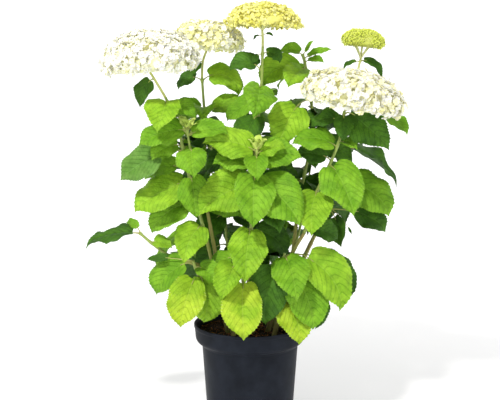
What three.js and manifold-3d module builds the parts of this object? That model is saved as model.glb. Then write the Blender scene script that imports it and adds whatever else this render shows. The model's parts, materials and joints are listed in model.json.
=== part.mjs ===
// A potted annabelle smooth hydrangea in flower, in millimetres, with +Z up.
// The origin is the middle of the pot's flat underside, and -Y is the side that faces the viewer.
// Angles are in degrees: a heading is 0 along +X, 90 along +Y and -90 towards the viewer.
import * as THREE from "three";
import { mergeVertices } from "three/addons/utils/BufferGeometryUtils.js";
import Module from "manifold-3d";

const wasm = await Module();
wasm.setup();

const radians = THREE.MathUtils.degToRad;

// Driving dimensions of the pot and its filling
const GAP = 0.3;
const POT = {
  height: 195,
  rimRadius: 114.5,
  bandRadius: 111.5,
  bandHeight: 27,
  chamferHeight: 18,
  cove: [0.36, 0.7, 1],
  coveHeight: 13.5,
  shoulderRadius: 98,
  footRadius: 87,
  wall: 2.4,
  floor: 3,
  edge: 1.2,
  sides: 32,
};
const DRAIN = { count: 6, radius: 5, ring: 62, sides: 8 };
const SOIL = { level: 178, crown: 2, rings: [1, 0.5] };

// Driving dimensions of limbs, which are given as radii, and of flower heads
const CANE = { foot: 5, tip: 3.3, sides: 6 };
const BRANCH = { foot: 3.6, tip: 3.1, sides: 6 };
const STEM = { foot: 3.2, tip: 2.6, youngTip: 1.8, sides: 6 };
const FLOWER_STALK = { foot: 2.6, tip: 2.3, sides: 6 };
const RING_SPACING = 55;
const HALVINGS = 40;
const HEAD = {
  sides: 12,
  angles: [124, 104, 84, 64, 44, 22],
  underside: [0.12, 0.6],
  hollow: 0.42,
  jitter: 0.3,
  raySpread: 0.5,
  rayRadius: 1.5,
  raySides: 3,
  rayFoot: 4,
  stemRadius: 2.2,
  sunk: 5,
};

// Driving dimensions of leaves: a pair of numbers is a range that the seeded draws choose from.
const LEAST_BEND = radians(0.01);
const STALK = { root: 1.7, blade: 1.15, ringSpacing: 15, fullFrom: 60 };
const LEAF = {
  width: 0.7,
  widestAt: 0.36,
  roundness: 0.8,
  thickness: 0.0125,
  leastThickness: 0.7,
  rows: [0, 0.15, 0.42, 0.76, 1],
  base: 0.1,
  tip: 0.025,
  stalkShare: 0.2,
  rise: 35,
  arch: 48,
  lean: 52,
};
const DRAWN = {
  arch: [0.7, 1.3],
  rise: [0.6, 1.4],
  twist: [-8, 8],
  fold: [4, 13],
  width: [0.94, 1.08],
};
const YOUNG = {
  pairs: 2,
  spacing: 5,
  blade: 34,
  shrink: 0.72,
  heading: -60,
  hang: -30,
  steeper: 25,
  arch: 40,
  slim: 0.62,
  stalk: 9,
};
const RULE = { top: 14, foot: 12, blade: [74, 128], fullAt: 0.6, hang: [2, 50] };
const FILL = { height: [0.15, 0.75], heading: [40, 140], blade: [80, 110], hang: [15, 40] };
const QUARTER_TURN = 90;
const REACH = 180;
const LEAF_CLEARANCE = 0.6;
const SEEDS = { heads: 2024, bracts: 77, leaves: 101, step: 17 };
const SWERVES = [
  [0, 0], [7, 0], [-7, 0], [0, 7], [0, -7], [14, 0], [-14, 0], [7, 7], [-7, 7],
  [7, -7], [-7, -7], [21, 0], [-21, 0], [0, 14], [0, -14], [14, 14], [-14, 14],
];

// Each shoot has a woody part, which is a cane from the soil or a branch from another cane, and a
// green stem that carries the leaves. A leaf row gives the height of its node, its heading, the
// length of its blade, how far the blade hangs below level, the length of its stalk, and what
// departs from the rule. Pairs that no row names are set by the growing rule.
const SHOOTS = [
  {
    name: "left",
    wood: [[-44, -22, SOIL.level], [-62, -36, 270], [-88, -50, 385]],
    stem: [[-88, -50, 385], [-119, -62, 505], [-141, -68, 610], [-162, -70, 655]],
    leaves: [
      [646, -100, 92, 36, 14],
      [640, -20, 52, 28, 10],
      [608, 82, 84, 8],
      [560, -150, 64, 25, 12],
      [553, -168, 90, 32, 50, { rise: 5, arch: 25 }],
      [512, 168, 80, 20, 24],
      [500, -60, 84, 76, 8],
      [488, -158, 114, 14, 16, { arch: 35 }],
      [470, 176, 66, 38, 14],
      [447, -166, 98, 38, 18],
      [440, 40, 90, 20],
      [402, -118, 90, 48, 14],
    ],
    fill: 2,
  },
  {
    name: "left_tip",
    wood: [[-32, -46, SOIL.level], [-62, -38, 310], [-84, -40, 430]],
    stem: [[-84, -40, 430], [-108, -68, 520], [-121, -86, 596]],
    leaves: [
      [590, -162, 92, 14, 10, { arch: 40 }],
      [584, -4, 72, 0, 10],
      [556, -82, 76, 38, 20],
      [540, 88, 70, 10],
    ],
    young: true,
    fill: 1,
  },
  {
    name: "upper_left",
    wood: [[-30, 14, SOIL.level], [-36, 18, 250], [-44, 24, 330]],
    stem: [[-44, 24, 330], [-56, 30, 442], [-76, 50, 543], [-92, 60, 615], [-98, 60, 690]],
    leaves: [
      [684, 175, 50, 34, 16, { rise: 48, arch: 85 }],
      [684, -8, 88, 31, 18, { rise: 48, arch: 105 }],
      [624, -96, 70, 22, 14, { arch: 80 }],
      [622, -172, 62, 4, 12],
      [620, -16, 82, 8, 20],
      [585, 98, 96, 14],
      [548, -10, 88, 20, 20],
      [545, -172, 64, 10, 14],
      [490, 160, 96, 30],
      [470, -30, 90, 36],
      [412, -130, 86, 44, 16],
      [406, 30, 88, 30],
      [350, 165, 84, 44],
      [346, -60, 84, 50, 16],
    ],
    fill: 2,
  },
  {
    name: "upper_middle",
    wood: [[2, 10, SOIL.level], [-2, 12, 270], [0, 12, 360]],
    stem: [[0, 12, 360], [4, 10, 467], [16, 0, 607], [22, -8, 667], [25, -10, 752]],
    leaves: [
      [738, -15, 40, 38, 9, { rise: 30, arch: 105 }],
      [737, 180, 20, 60, 9],
      [703, 181, 64, 8, 16, { rise: 62, arch: 92 }],
      [676, -99, 100, 36, 12, { roll: -8 }],
      [660, 80, 84, 12],
      [644, 168, 74, 34, 12],
      [612, -112, 78, 44, 16],
      [600, 60, 100, 22],
      [540, 150, 104, 30],
      [530, 20, 96, 30],
      [440, -45, 88, 40],
      [436, 130, 92, 36],
      [380, 10, 88, 44],
    ],
    fill: 1,
  },
  {
    name: "upper_right",
    wood: [[91, -10, 385], [100, 25, 447]],
    parent: "right_flower",
    fork: 346,
    stem: [[100, 25, 447], [124, 42, 560], [125, 50, 640], [112, 50, 716], [106, 50, 738]],
    leaves: [
      [736, 176, 44, -2, 8, { arch: 55 }],
      [737, 20, 30, -52, 9, { arch: 10, slim: 0.4 }],
      [729, -4, 52, -16, 10, { arch: 30, slim: 0.45 }],
      [721, -30, 38, 6, 9, { arch: 60, slim: 0.7 }],
      [700, 187, 88, 39, 22, { rise: 10, arch: 95 }],
      [708, -112, 76, 26, 12],
      [700, 140, 80, 28, 12],
      [646, -125, 108, 50, 58, { rise: 5, arch: 40 }],
      [640, 108, 78, 20, 16],
      [618, 60, 88, 18],
      [590, 150, 80, 24],
      [560, 20, 92, 30],
      [500, 100, 104, 30],
      [480, -150, 80, 46, 12],
    ],
    fill: 2,
  },
  {
    name: "right_flower",
    wood: [[36, -16, SOIL.level], [58, -22, 272], [85, -26, 344], [108, -30, 385]],
    stem: [[108, -30, 385], [132, -35, 467], [159, -38, 528], [176, -40, 575], [184, -40, 628]],
    leaves: [
      [622, -26, 108, 40, 14, { roll: 10 }],
      [618, -94, 56, 60, 10],
      [606, 160, 66, 14, 14],
      [558, -168, 86, -4, 10],
      [566, -50, 44, 15, 10],
      [520, -60, 118, 48, 12, { rise: 20 }],
      [530, 166, 66, 0, 12],
      [500, 30, 84, 26],
      [470, -100, 102, 46, 22],
      [466, 72, 98, 30],
      [388, 14, 66, 20, 14],
    ],
    fill: 1,
  },
  {
    name: "right",
    wood: [[46, 16, SOIL.level], [112, 45, 320], [160, 60, 416]],
    stem: [[160, 60, 416], [192, 75, 500], [207, 80, 560], [216, 85, 640], [220, 85, 680]],
    leaves: [
      [622, -14, 68, 38, 64, { rise: 12, arch: 30, roll: -15 }],
      [650, 100, 80, 10, 16],
      [590, 150, 90, 16],
      [546, 2, 126, 38, 12, { rise: 10, arch: 20, roll: -40 }],
      [530, 92, 108, 20],
      [474, -14, 120, 36, 20, { rise: 10 }],
      [470, 170, 84, 30],
      [420, 0, 84, 32, 56, { rise: 0 }],
      [421, -40, 66, 78, 24, { rise: -30, roll: 60 }],
      [424, -22, 16, 62, 60, { rise: -30, arch: 10, slim: 0.5 }],
      [430, 90, 104, 34],
    ],
    fill: 1,
  },
  {
    name: "centre",
    wood: [[4, -34, SOIL.level], [0, -50, 280], [0, -56, 360]],
    stem: [[0, -56, 360], [6, -65, 470], [14, -70, 556]],
    leaves: [
      [551, -168, 102, -10, 9, { arch: 42 }],
      [546, -20, 54, -12, 8],
      [540, -88, 62, 44, 12],
      [524, -172, 80, -2, 8],
      [526, -8, 86, -8, 10],
      [511, 140, 84, 4, 16],
      [488, 12, 80, 20, 12],
      [494, -36, 122, 40, 18],
      [482, -157, 118, 26, 12, { arch: 40 }],
      [502, -91, 114, 54, 16],
      [398, -98, 112, 58, 16],
      [396, 100, 84, 34, 14],
    ],
    young: true,
    fill: 1,
  },
  {
    name: "low_middle",
    wood: [[-12, -58, SOIL.level], [-10, -66, 215], [-10, -72, 250]],
    stem: [[-10, -72, 250], [-14, -78, 300], [-26, -82, 352]],
    leaves: [
      [298, -88, 116, 58, 16],
      [332, -112, 80, 50, 20],
      [344, 150, 70, 44, 14],
      [290, -114, 78, 70, 12],
    ],
    fill: 0,
  },
  {
    name: "low_right",
    wood: [[48, -46, SOIL.level], [56, -50, 215], [60, -54, 250]],
    stem: [[60, -54, 250], [64, -58, 300], [68, -62, 350]],
    leaves: [
      [342, -76, 106, 42, 12],
      [302, -42, 106, 64, 36],
      [342, -20, 128, 56, 52],
      [322, -140, 118, 70, 24],
      [300, 40, 90, 36],
      [276, -22, 88, 20, 14],
      [270, 0, 84, 70, 48],
      [264, -70, 108, 60, 12],
      [336, 4, 112, 52, 70],
    ],
    fill: 1,
  },
  {
    name: "low_left",
    wood: [[-76, -50, 276], [-92, -58, 290]],
    parent: "left",
    fork: 262,
    stem: [[-92, -58, 290], [-104, -62, 312], [-112, -66, 336]],
    leaves: [
      [336, 176, 44, 4, 50, { rise: 5, arch: 20, slim: 0.6 }],
      [328, 178, 92, 46, 20],
      [322, -24, 60, 30, 12],
      [302, -134, 100, 60, 24],
      [300, 60, 80, 40],
      [308, -58, 98, 70, 14],
    ],
    fill: 0,
  },
  {
    name: "side",
    wood: [[-120, -36, 326], [-160, -36, 338]],
    parent: "left",
    fork: 312,
    stem: [[-160, -36, 338], [-194, -44, 366], [-218, -48, 388]],
    leaves: [
      [387.9, -178, 100, 14, 14, { rise: 10, arch: 20, roll: 46 }],
      [387, 130, 44, -10, 14, { rise: 70, arch: 40, slim: 0.6 }],
      [368, -25, 42, 12, 8],
    ],
    fill: 0,
  },
  {
    name: "back_left",
    wood: [[-40, 44, SOIL.level], [-74, 80, 300]],
    stem: [[-74, 80, 300], [-108, 116, 420], [-128, 138, 560]],
    leaves: [],
    lean: -18,
    young: true,
    fill: 0,
    rule: { heading: 120, pairs: 5 },
  },
  {
    name: "back_middle",
    wood: [[4, 54, SOIL.level], [10, 96, 300]],
    stem: [[10, 96, 300], [18, 130, 440], [22, 146, 610]],
    leaves: [],
    lean: -18,
    young: true,
    fill: 0,
    rule: { heading: 60, pairs: 6 },
  },
  {
    name: "back_right",
    wood: [[42, 44, SOIL.level], [82, 84, 290]],
    stem: [[82, 84, 290], [116, 122, 410], [134, 142, 540]],
    leaves: [],
    lean: -18,
    young: true,
    fill: 0,
    rule: { heading: 30, pairs: 5 },
  },
];

// A flower head is a dome of florets on rays that spread from the top of its own bare stalk.
const HEADS = [
  {
    name: "left",
    shoot: "left",
    stalk: [[-162, -70, 655], [-179, -70, 684], [-191, -70, 703]],
    radius: 94, height: 84, middle: 22, skirt: 24, rayLength: 10, lean: [-0.08, -0.04],
    rays: 7, knob: 16,
    bracts: [[690, 180, 58, 66, 9, { arch: 30 }]],
  },
  {
    name: "upper_left",
    shoot: "upper_left",
    stalk: [[-98, 60, 690], [-96, 60, 722], [-88, 60, 746]],
    radius: 76, height: 62, middle: 16, skirt: 14, rayLength: 8, lean: [0.05, 0.02],
    rays: 7, knob: 15,
    bracts: [[722, 205, 32, 60, 8]],
  },
  {
    name: "top",
    shoot: "upper_middle",
    stalk: [[25, -10, 752], [25, -10, 768], [24, -10, 784]],
    radius: 73, height: 55, middle: 12, skirt: 3, rayLength: 8, lean: [0.03, 0],
    rays: 7, knob: 12, young: true,
    bracts: [[772, 180, 15, 40, 8, { slim: 0.6 }], [775, 0, 15, 20, 8, { slim: 0.6 }]],
  },
  {
    name: "small",
    shoot: "right",
    stalk: [[220, 85, 680], [223, 86, 706], [228, 87, 728]],
    radius: 44, height: 63, middle: 38, skirt: -14, rayLength: 20, lean: [0.1, 0],
    rays: 5, knob: 9, young: true,
    bracts: [
      [722, 180, 34, 35, 9, { slim: 0.45 }],
      [723, -4, 58, 45, 9, { arch: 70, slim: 0.55 }],
    ],
  },
  {
    name: "right",
    shoot: "right_flower",
    stalk: [[184, -40, 628], [191, -40, 633], [196, -41, 641]],
    radius: 104, height: 70, middle: 14, skirt: 24, rayLength: 8, lean: [0.2, -0.06],
    rays: 7, knob: 16,
    bracts: [],
  },
];

const COLOURS = {
  pot: { color: "#2b2d33", roughness: 0.45 },
  soil: { color: "#1c1611", roughness: 0.95 },
  wood: { color: "#7d7a45", roughness: 0.75 },
  stalk: { color: "#b9bd70", roughness: 0.55 },
  leaf: { color: "#7fb338", roughness: 0.5 },
  youngFlower: { color: "#dcdc6a", roughness: 0.8 },
  flower: { color: "#f6f3d2", roughness: 0.8 },
};

const vector = (xyz) => new THREE.Vector3(...xyz);

// Random numbers from 0 to 1 that are the same on every run
function seeded(seed) {
  let state = seed;
  return () => {
    state = (state * 16807) % 2147483647;
    return state / 2147483647;
  };
}

function toSolid(geometry) {
  geometry.deleteAttribute("normal");
  geometry.deleteAttribute("uv");
  const merged = mergeVertices(geometry);
  return new wasm.Manifold(new wasm.Mesh({
    numProp: 3,
    vertProperties: new Float32Array(merged.attributes.position.array),
    triVerts: new Uint32Array(merged.index.array),
  }));
}

// Loose scraps are dropped, and so is the skin of a sealed hollow, which fills it.
function toGeometry(solid) {
  const [whole] = solid.decompose().sort((a, b) => b.volume() - a.volume());
  const mesh = whole.getMesh();
  const geometry = new THREE.BufferGeometry();
  geometry.setAttribute("position", new THREE.Float32BufferAttribute(mesh.vertProperties, 3));
  geometry.setIndex([...mesh.triVerts]);
  geometry.computeVertexNormals();
  return geometry;
}

// A closed body through rings of one count, each turning left about the way the body runs
function loft(rings) {
  const count = rings[0].length;
  const last = (rings.length - 1) * count;
  const index = [];
  for (let start = 0; start < last; start += count) {
    for (let side = 0; side < count; side += 1) {
      const next = (side + 1) % count;
      index.push(start + side, start + next, start + count + next);
      index.push(start + side, start + count + next, start + count + side);
    }
  }
  for (let side = 1; side + 1 < count; side += 1) {
    index.push(0, side + 1, side);
    index.push(last, last + side, last + side + 1);
  }
  const geometry = new THREE.BufferGeometry();
  const places = rings.flat().flatMap((point) => point.toArray());
  geometry.setAttribute("position", new THREE.Float32BufferAttribute(places, 3));
  geometry.setIndex(index);
  return toSolid(geometry);
}

function ringAbout(centre, along, radius, sides) {
  const across = new THREE.Vector3(0, -1, 0).cross(along).normalize();
  const other = along.clone().cross(across);
  const ring = [];
  for (let side = 0; side < sides; side += 1) {
    const angle = (2 * Math.PI * side) / sides;
    const point = centre.clone().addScaledVector(across, radius * Math.cos(angle));
    ring.push(point.addScaledVector(other, radius * Math.sin(angle)));
  }
  return ring;
}

function pathOf(points) {
  return new THREE.CatmullRomCurve3(points.map(vector), false, "catmullrom", 0.5);
}

const endHeading = (points) => pathOf(points).getTangent(1);

// The rings of one tapering limb, half a gap short at each end and square to what it grows from
function limbRings(points, size, startHeading) {
  const path = pathOf(points);
  const steps = Math.max(3, Math.round(path.getLength() / RING_SPACING));
  const rings = [];
  for (let step = 0; step <= steps; step += 1) {
    const share = step / steps;
    const radius = size.foot + (size.tip - size.foot) * share;
    const along = step === 0 ? startHeading : path.getTangent(share);
    const centre = path.getPoint(share);
    if (step === 0) {
      centre.addScaledVector(along, GAP / 2);
    }
    if (step === steps) {
      centre.addScaledVector(along, -GAP / 2);
    }
    rings.push(ringAbout(centre, along, radius, size.sides));
  }
  return rings;
}

function soilHeight(radius) {
  const share = radius / (POT.shoulderRadius - POT.wall);
  return SOIL.level + SOIL.crown * Math.max(0, 1 - share * share);
}

// A cane stands on the soil, and its foot is cut level.
function caneSolid(points, fatter) {
  const size = { ...CANE, foot: CANE.foot + fatter, tip: CANE.tip + fatter };
  const upright = new THREE.Vector3(0, 0, 1);
  const rings = limbRings(points, size, upright);
  const foot = vector(points[0]);
  foot.z = soilHeight(Math.hypot(foot.x, foot.y) - CANE.foot) + GAP;
  rings[0] = ringAbout(foot, upright, size.foot, size.sides);
  return loft(rings);
}

// The points of a shoot's wood: a branch starts on the middle line of its parent cane.
function woodPoints(shoot) {
  if (!shoot.parent) {
    return shoot.wood;
  }
  const parent = SHOOTS.find((other) => other.name === shoot.parent);
  return [pointAtHeight(pathOf(parent.wood), shoot.fork).toArray(), ...shoot.wood];
}

// The parent cane's own space, with a gap about it, is cut out of a branch.
function branchSolid(shoot) {
  const parent = SHOOTS.find((other) => other.name === shoot.parent);
  const points = woodPoints(shoot);
  const rings = limbRings(points, BRANCH, pathOf(points).getTangent(0));
  return loft(rings).subtract(caneSolid(parent.wood, GAP));
}

// The point on a stem at a height, found by halving because stems only climb
function pointAtHeight(path, height) {
  let low = 0;
  let high = 1;
  for (let pass = 0; pass < HALVINGS; pass += 1) {
    const middle = (low + high) / 2;
    if (path.getPoint(middle).z < height) {
      low = middle;
    } else {
      high = middle;
    }
  }
  return path.getPoint(low);
}

// A leaf's middle line in its own upright plane: the stalk and then the blade, each turning evenly
function spineAt(leaf, distance) {
  const stretches = [
    [leaf.stalk, leaf.rise, leaf.start],
    [leaf.blade, leaf.start, leaf.end],
  ];
  let out = 0;
  let up = 0;
  let rest = distance;
  let angle = leaf.rise;
  for (const [length, from, to] of stretches) {
    const part = Math.min(rest, length);
    const bend = (to - from || LEAST_BEND) / length;
    angle = from + bend * part;
    out += (Math.sin(angle) - Math.sin(from)) / bend;
    up += (Math.cos(from) - Math.cos(angle)) / bend;
    rest -= part;
    if (rest <= 0) {
      break;
    }
  }
  return { out, up, angle };
}

function leafFrame(leaf, distance) {
  const { out, up, angle } = spineAt(leaf, distance);
  const ahead = new THREE.Vector3(Math.cos(leaf.heading), Math.sin(leaf.heading), 0);
  const left = new THREE.Vector3(-ahead.y, ahead.x, 0);
  const along = ahead.clone().multiplyScalar(Math.cos(angle)).setZ(Math.sin(angle));
  const above = along.clone().cross(left);
  const centre = leaf.node.clone().addScaledVector(ahead, out);
  centre.z += up;
  const roll = leaf.roll;
  return {
    centre,
    along,
    left: left.clone().multiplyScalar(Math.cos(roll)).addScaledVector(above, Math.sin(roll)),
    above: above.clone().multiplyScalar(Math.cos(roll)).addScaledVector(left, -Math.sin(roll)),
  };
}

const between = ([low, high], draw) => low + (high - low) * draw();

// Half the blade's width as a share of its greatest, at a share of its length
function outline(share) {
  const power = Math.log(0.5) / Math.log(LEAF.widestAt);
  const wave = Math.sin(Math.PI * share ** power);
  return Math.max(0, wave) ** LEAF.roundness;
}

// A leaf is one body: a thin stalk whose rings widen into the folded blade.
function leafSolid(leaf, from) {
  const thick = Math.max(LEAF.leastThickness, leaf.blade * LEAF.thickness);
  const slim = Math.min(1, 0.5 + (0.5 * leaf.blade) / STALK.fullFrom);
  const rings = [];
  const addRing = (distance, half, raised, thin) => {
    const frame = leafFrame(leaf, distance);
    const place = (across, over) => frame.centre.clone()
      .addScaledVector(frame.left, across).addScaledVector(frame.above, over);
    rings.push([place(half, raised), place(0, thin), place(-half, raised), place(0, -thin)]);
  };
  const stalkSteps = Math.min(3, Math.ceil(leaf.stalk / STALK.ringSpacing));
  for (let step = from; step < stalkSteps; step += 1) {
    const share = step / stalkSteps;
    const taper = STALK.root + (STALK.blade - STALK.root) * share;
    addRing(leaf.stalk * share, taper * slim, 0, taper * slim);
  }
  for (const share of LEAF.rows) {
    const least = share < 0.5 ? LEAF.base : LEAF.tip;
    const half = (leaf.width / 2) * Math.max(outline(share), least);
    const thin = share === 1 ? thick / 3 : thick / 2;
    addRing(leaf.stalk + leaf.blade * share, half, half * Math.tan(leaf.fold), thin);
  }
  return loft(rings);
}

// The pairs that follow the rule: each turned a quarter from the last, larger and lower going down
function rulePairs(shoot) {
  const rows = [];
  const top = shoot.stem.at(-1)[2] - RULE.top;
  const foot = shoot.stem[0][2] + RULE.foot;
  for (let pair = 0; pair < shoot.rule.pairs; pair += 1) {
    const share = pair / (shoot.rule.pairs - 1);
    const height = top + (foot - top) * share;
    const heading = shoot.rule.heading + QUARTER_TURN * pair;
    const blade = between(RULE.blade, () => Math.min(1, share / RULE.fullAt));
    const hang = between(RULE.hang, () => share);
    rows.push([height, heading, blade, hang]);
    rows.push([height, heading + 2 * QUARTER_TURN, blade, hang]);
  }
  return rows;
}

// Extra leaves on the far side of a shoot, where the crown is as full as in front
function fillRows(shoot, draw) {
  const rows = [];
  const top = shoot.stem.at(-1)[2];
  const foot = shoot.stem[0][2];
  for (let extra = 0; extra < shoot.fill; extra += 1) {
    const height = foot + (top - foot) * between(FILL.height, draw);
    const heading = between(FILL.heading, draw);
    const blade = between(FILL.blade, draw);
    rows.push([height, heading, blade, between(FILL.hang, draw)]);
  }
  return rows;
}

// The small leaves that stand up about the tip of a shoot without a flower
function youngRows(shoot) {
  const rows = [];
  const top = shoot.stem.at(-1)[2] - 1;
  for (let pair = 0; pair < YOUNG.pairs; pair += 1) {
    const height = top - YOUNG.spacing * pair;
    const blade = YOUNG.blade * YOUNG.shrink ** pair;
    const hang = YOUNG.hang - YOUNG.steeper * pair;
    const heading = YOUNG.heading + QUARTER_TURN * pair;
    const differs = { slim: YOUNG.slim, arch: YOUNG.arch };
    rows.push([height, heading, blade, hang, YOUNG.stalk, differs]);
    rows.push([height, heading + 2 * QUARTER_TURN, blade, hang, YOUNG.stalk, differs]);
  }
  return rows;
}

// A leaf row with what the seeded draws add to it
function leafOf(row, path, lean, draw) {
  const [height, heading, blade, hang, stalk, differs] = row;
  const own = differs ?? {};
  const arch = own.arch ?? LEAF.arch * between(DRAWN.arch, draw);
  const rise = own.rise ?? LEAF.rise * between(DRAWN.rise, draw);
  return {
    node: pointAtHeight(path, height),
    heading,
    hang,
    lean,
    blade,
    arch: radians(arch),
    rise: radians(rise),
    twist: (own.roll ?? 0) + between(DRAWN.twist, draw),
    fold: radians(between(DRAWN.fold, draw)),
    stalk: stalk ?? blade * LEAF.stalkShare,
    width: blade * LEAF.width * (own.slim ?? between(DRAWN.width, draw)),
  };
}

function leavesOf(shoot, seed) {
  const draw = seeded(seed);
  const path = pathOf(shoot.stem);
  const rows = [...shoot.leaves];
  if (shoot.young) {
    rows.push(...youngRows(shoot));
  }
  if (shoot.rule) {
    rows.push(...rulePairs(shoot));
  }
  rows.push(...fillRows(shoot, draw));
  return rows.map((row) => leafOf(row, path, shoot.lean ?? LEAF.lean, draw));
}

// A leaf that swerves aside or down. Its upper face leans out to the light on its side of the crown.
function swerved(leaf, [aside, down]) {
  const hang = radians(leaf.hang + down);
  const heading = radians(leaf.heading + aside);
  return {
    ...leaf,
    heading,
    roll: radians(leaf.twist + leaf.lean * Math.cos(heading)),
    start: -hang + leaf.arch / 2,
    end: -hang - leaf.arch / 2,
  };
}

function boxesMeet(a, b, margin) {
  return [0, 1, 2].every((axis) => a.min[axis] - margin < b.max[axis]
    && b.min[axis] - margin < a.max[axis]);
}

function isClear({ solid, box }, others) {
  return others.every((other) => !boxesMeet(box, other.box, LEAF_CLEARANCE)
    || solid.minGap(other.solid, 2 * LEAF_CLEARANCE) >= LEAF_CLEARANCE);
}

const withBox = (solid) => ({ solid, box: solid.boundingBox() });

function makeMesh(name, solid, look) {
  const material = new THREE.MeshStandardMaterial({ ...look, metalness: 0 });
  const mesh = new THREE.Mesh(toGeometry(solid), material);
  mesh.name = name;
  return mesh;
}

function turned(profile, sides) {
  const lathe = new THREE.LatheGeometry(profile.map(([r, z]) => new THREE.Vector2(r, z)), sides);
  return toSolid(lathe.rotateX(Math.PI / 2));
}

// The outside of the pot from its foot up to the edge of its rim
function potOutside() {
  const bandFoot = POT.height - POT.bandHeight;
  const shoulder = bandFoot - POT.chamferHeight;
  const points = [[POT.footRadius, 0], [POT.shoulderRadius, shoulder]];
  for (const share of POT.cove) {
    const angle = (share * Math.PI) / 2;
    const radius = POT.shoulderRadius + (POT.bandRadius - POT.shoulderRadius) * Math.sin(angle);
    points.push([radius, bandFoot - POT.coveHeight * Math.cos(angle)]);
  }
  points.push([POT.rimRadius, POT.height - POT.edge]);
  return points;
}

function potInside(clear) {
  const inset = POT.wall + clear;
  const bandFoot = POT.height - POT.bandHeight;
  const shoulder = bandFoot - POT.chamferHeight;
  return [
    [POT.footRadius - inset, POT.floor + clear],
    [POT.shoulderRadius - inset, shoulder],
    [POT.bandRadius - inset, bandFoot],
  ];
}

function potSolid() {
  const inside = potInside(0).reverse();
  const profile = [
    [0, 0],
    ...potOutside(),
    [POT.rimRadius - POT.edge, POT.height],
    [POT.rimRadius - POT.wall, POT.height],
    ...inside,
    [0, POT.floor],
  ];
  let pot = turned(profile, POT.sides);
  for (let hole = 0; hole < DRAIN.count; hole += 1) {
    const angle = (2 * Math.PI * (hole + 0.5)) / DRAIN.count;
    const drill = new THREE.CylinderGeometry(
      DRAIN.radius, DRAIN.radius, 4 * POT.floor, DRAIN.sides,
    );
    drill.rotateX(Math.PI / 2);
    drill.translate(DRAIN.ring * Math.cos(angle), DRAIN.ring * Math.sin(angle), 0);
    pot = pot.subtract(toSolid(drill));
  }
  return pot;
}

// The filling of the pot, lightly crowned about the canes
function soilSolid() {
  const [foot, shoulder, band] = potInside(GAP);
  const share = (SOIL.level - shoulder[1]) / (band[1] - shoulder[1]);
  const brim = shoulder[0] + (band[0] - shoulder[0]) * Math.min(1, share);
  const top = SOIL.rings.map((part) => [brim * part, soilHeight(brim * part)]);
  const profile = [[0, foot[1]], foot, shoulder];
  if (SOIL.level > band[1]) {
    profile.push(band);
  }
  return turned([...profile, ...top, [0, SOIL.level + SOIL.crown]], POT.sides);
}

// The head's own axis, which leans, and two directions square to it
function headAxes(head) {
  const up = new THREE.Vector3(head.lean[0], head.lean[1], 1).normalize();
  const side = new THREE.Vector3(0, 1, 0).cross(up).normalize();
  return { up, side, front: up.clone().cross(side) };
}

function headPoint(head, axes, around, out, over) {
  return vector(head.stalk.at(-1))
    .addScaledVector(axes.side, out * Math.cos(around))
    .addScaledVector(axes.front, out * Math.sin(around))
    .addScaledVector(axes.up, over);
}

// The dome's outside at an angle from its own axis: how far out it lies and how far over the stalk
function domePoint(head, angle) {
  const over = Math.cos(angle) > 0 ? head.height - head.middle : head.middle + head.skirt;
  return { out: head.radius * Math.sin(angle), over: head.middle + over * Math.cos(angle) };
}

// How far over the stalk the dome's open underside lies, at a share of its radius
function undersideHeight(head, share) {
  return head.rayLength + HEAD.hollow * head.height * (1 - share * share);
}

// A knobbly dome of clustered florets on the stem and rays that carry it
function headSolid(head, draw) {
  const axes = headAxes(head);
  const domeRing = (out, over, knob) => {
    const ring = [];
    for (let side = 0; side < HEAD.sides; side += 1) {
      const raised = knob * (draw() - 0.5);
      const around = (2 * Math.PI * (side + HEAD.jitter * draw())) / HEAD.sides;
      ring.push(headPoint(head, axes, around, out * (1 + raised / head.radius), over + raised / 2));
    }
    return ring;
  };
  const rings = HEAD.underside.map(
    (share) => domeRing(share * head.radius, undersideHeight(head, share), 0),
  );
  for (const degrees of HEAD.angles) {
    const { out, over } = domePoint(head, radians(degrees));
    rings.push(domeRing(out, over, head.knob));
  }
  let solid = loft(rings);
  const stalkHeading = endHeading(head.stalk);
  const stemFoot = vector(head.stalk.at(-1)).addScaledVector(stalkHeading, GAP / 2);
  const stemTip = headPoint(head, axes, 0, 0, undersideHeight(head, 0) + HEAD.sunk);
  const stemRings = [
    ringAbout(stemFoot, stalkHeading, HEAD.stemRadius, STEM.sides),
    ringAbout(stemTip, axes.up, HEAD.stemRadius, STEM.sides),
  ];
  solid = solid.add(loft(stemRings));
  for (let ray = 0; ray < head.rays; ray += 1) {
    const around = (2 * Math.PI * (ray + 0.5 * draw())) / head.rays;
    const foot = headPoint(head, axes, around, HEAD.rayRadius / 2, HEAD.rayFoot);
    const over = undersideHeight(head, HEAD.raySpread) + HEAD.sunk;
    const tip = headPoint(head, axes, around, HEAD.raySpread * head.radius, over);
    const along = tip.clone().sub(foot).normalize();
    solid = solid.add(loft([
      ringAbout(foot, along, HEAD.rayRadius, HEAD.raySides),
      ringAbout(tip, along, 0.75 * HEAD.rayRadius, HEAD.raySides),
    ]));
  }
  return solid;
}

const plant = new THREE.Group();
const placed = [];

function keep(name, solid, look) {
  placed.push(withBox(solid));
  plant.add(makeMesh(name, solid, look));
}

keep("pot", potSolid(), COLOURS.pot);
keep("soil", soilSolid(), COLOURS.soil);

for (const shoot of SHOOTS) {
  if (shoot.parent) {
    keep(`branch_${shoot.name}`, branchSolid(shoot), COLOURS.wood);
  } else {
    keep(`cane_${shoot.name}`, caneSolid(shoot.wood, 0), COLOURS.wood);
  }
}

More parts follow.
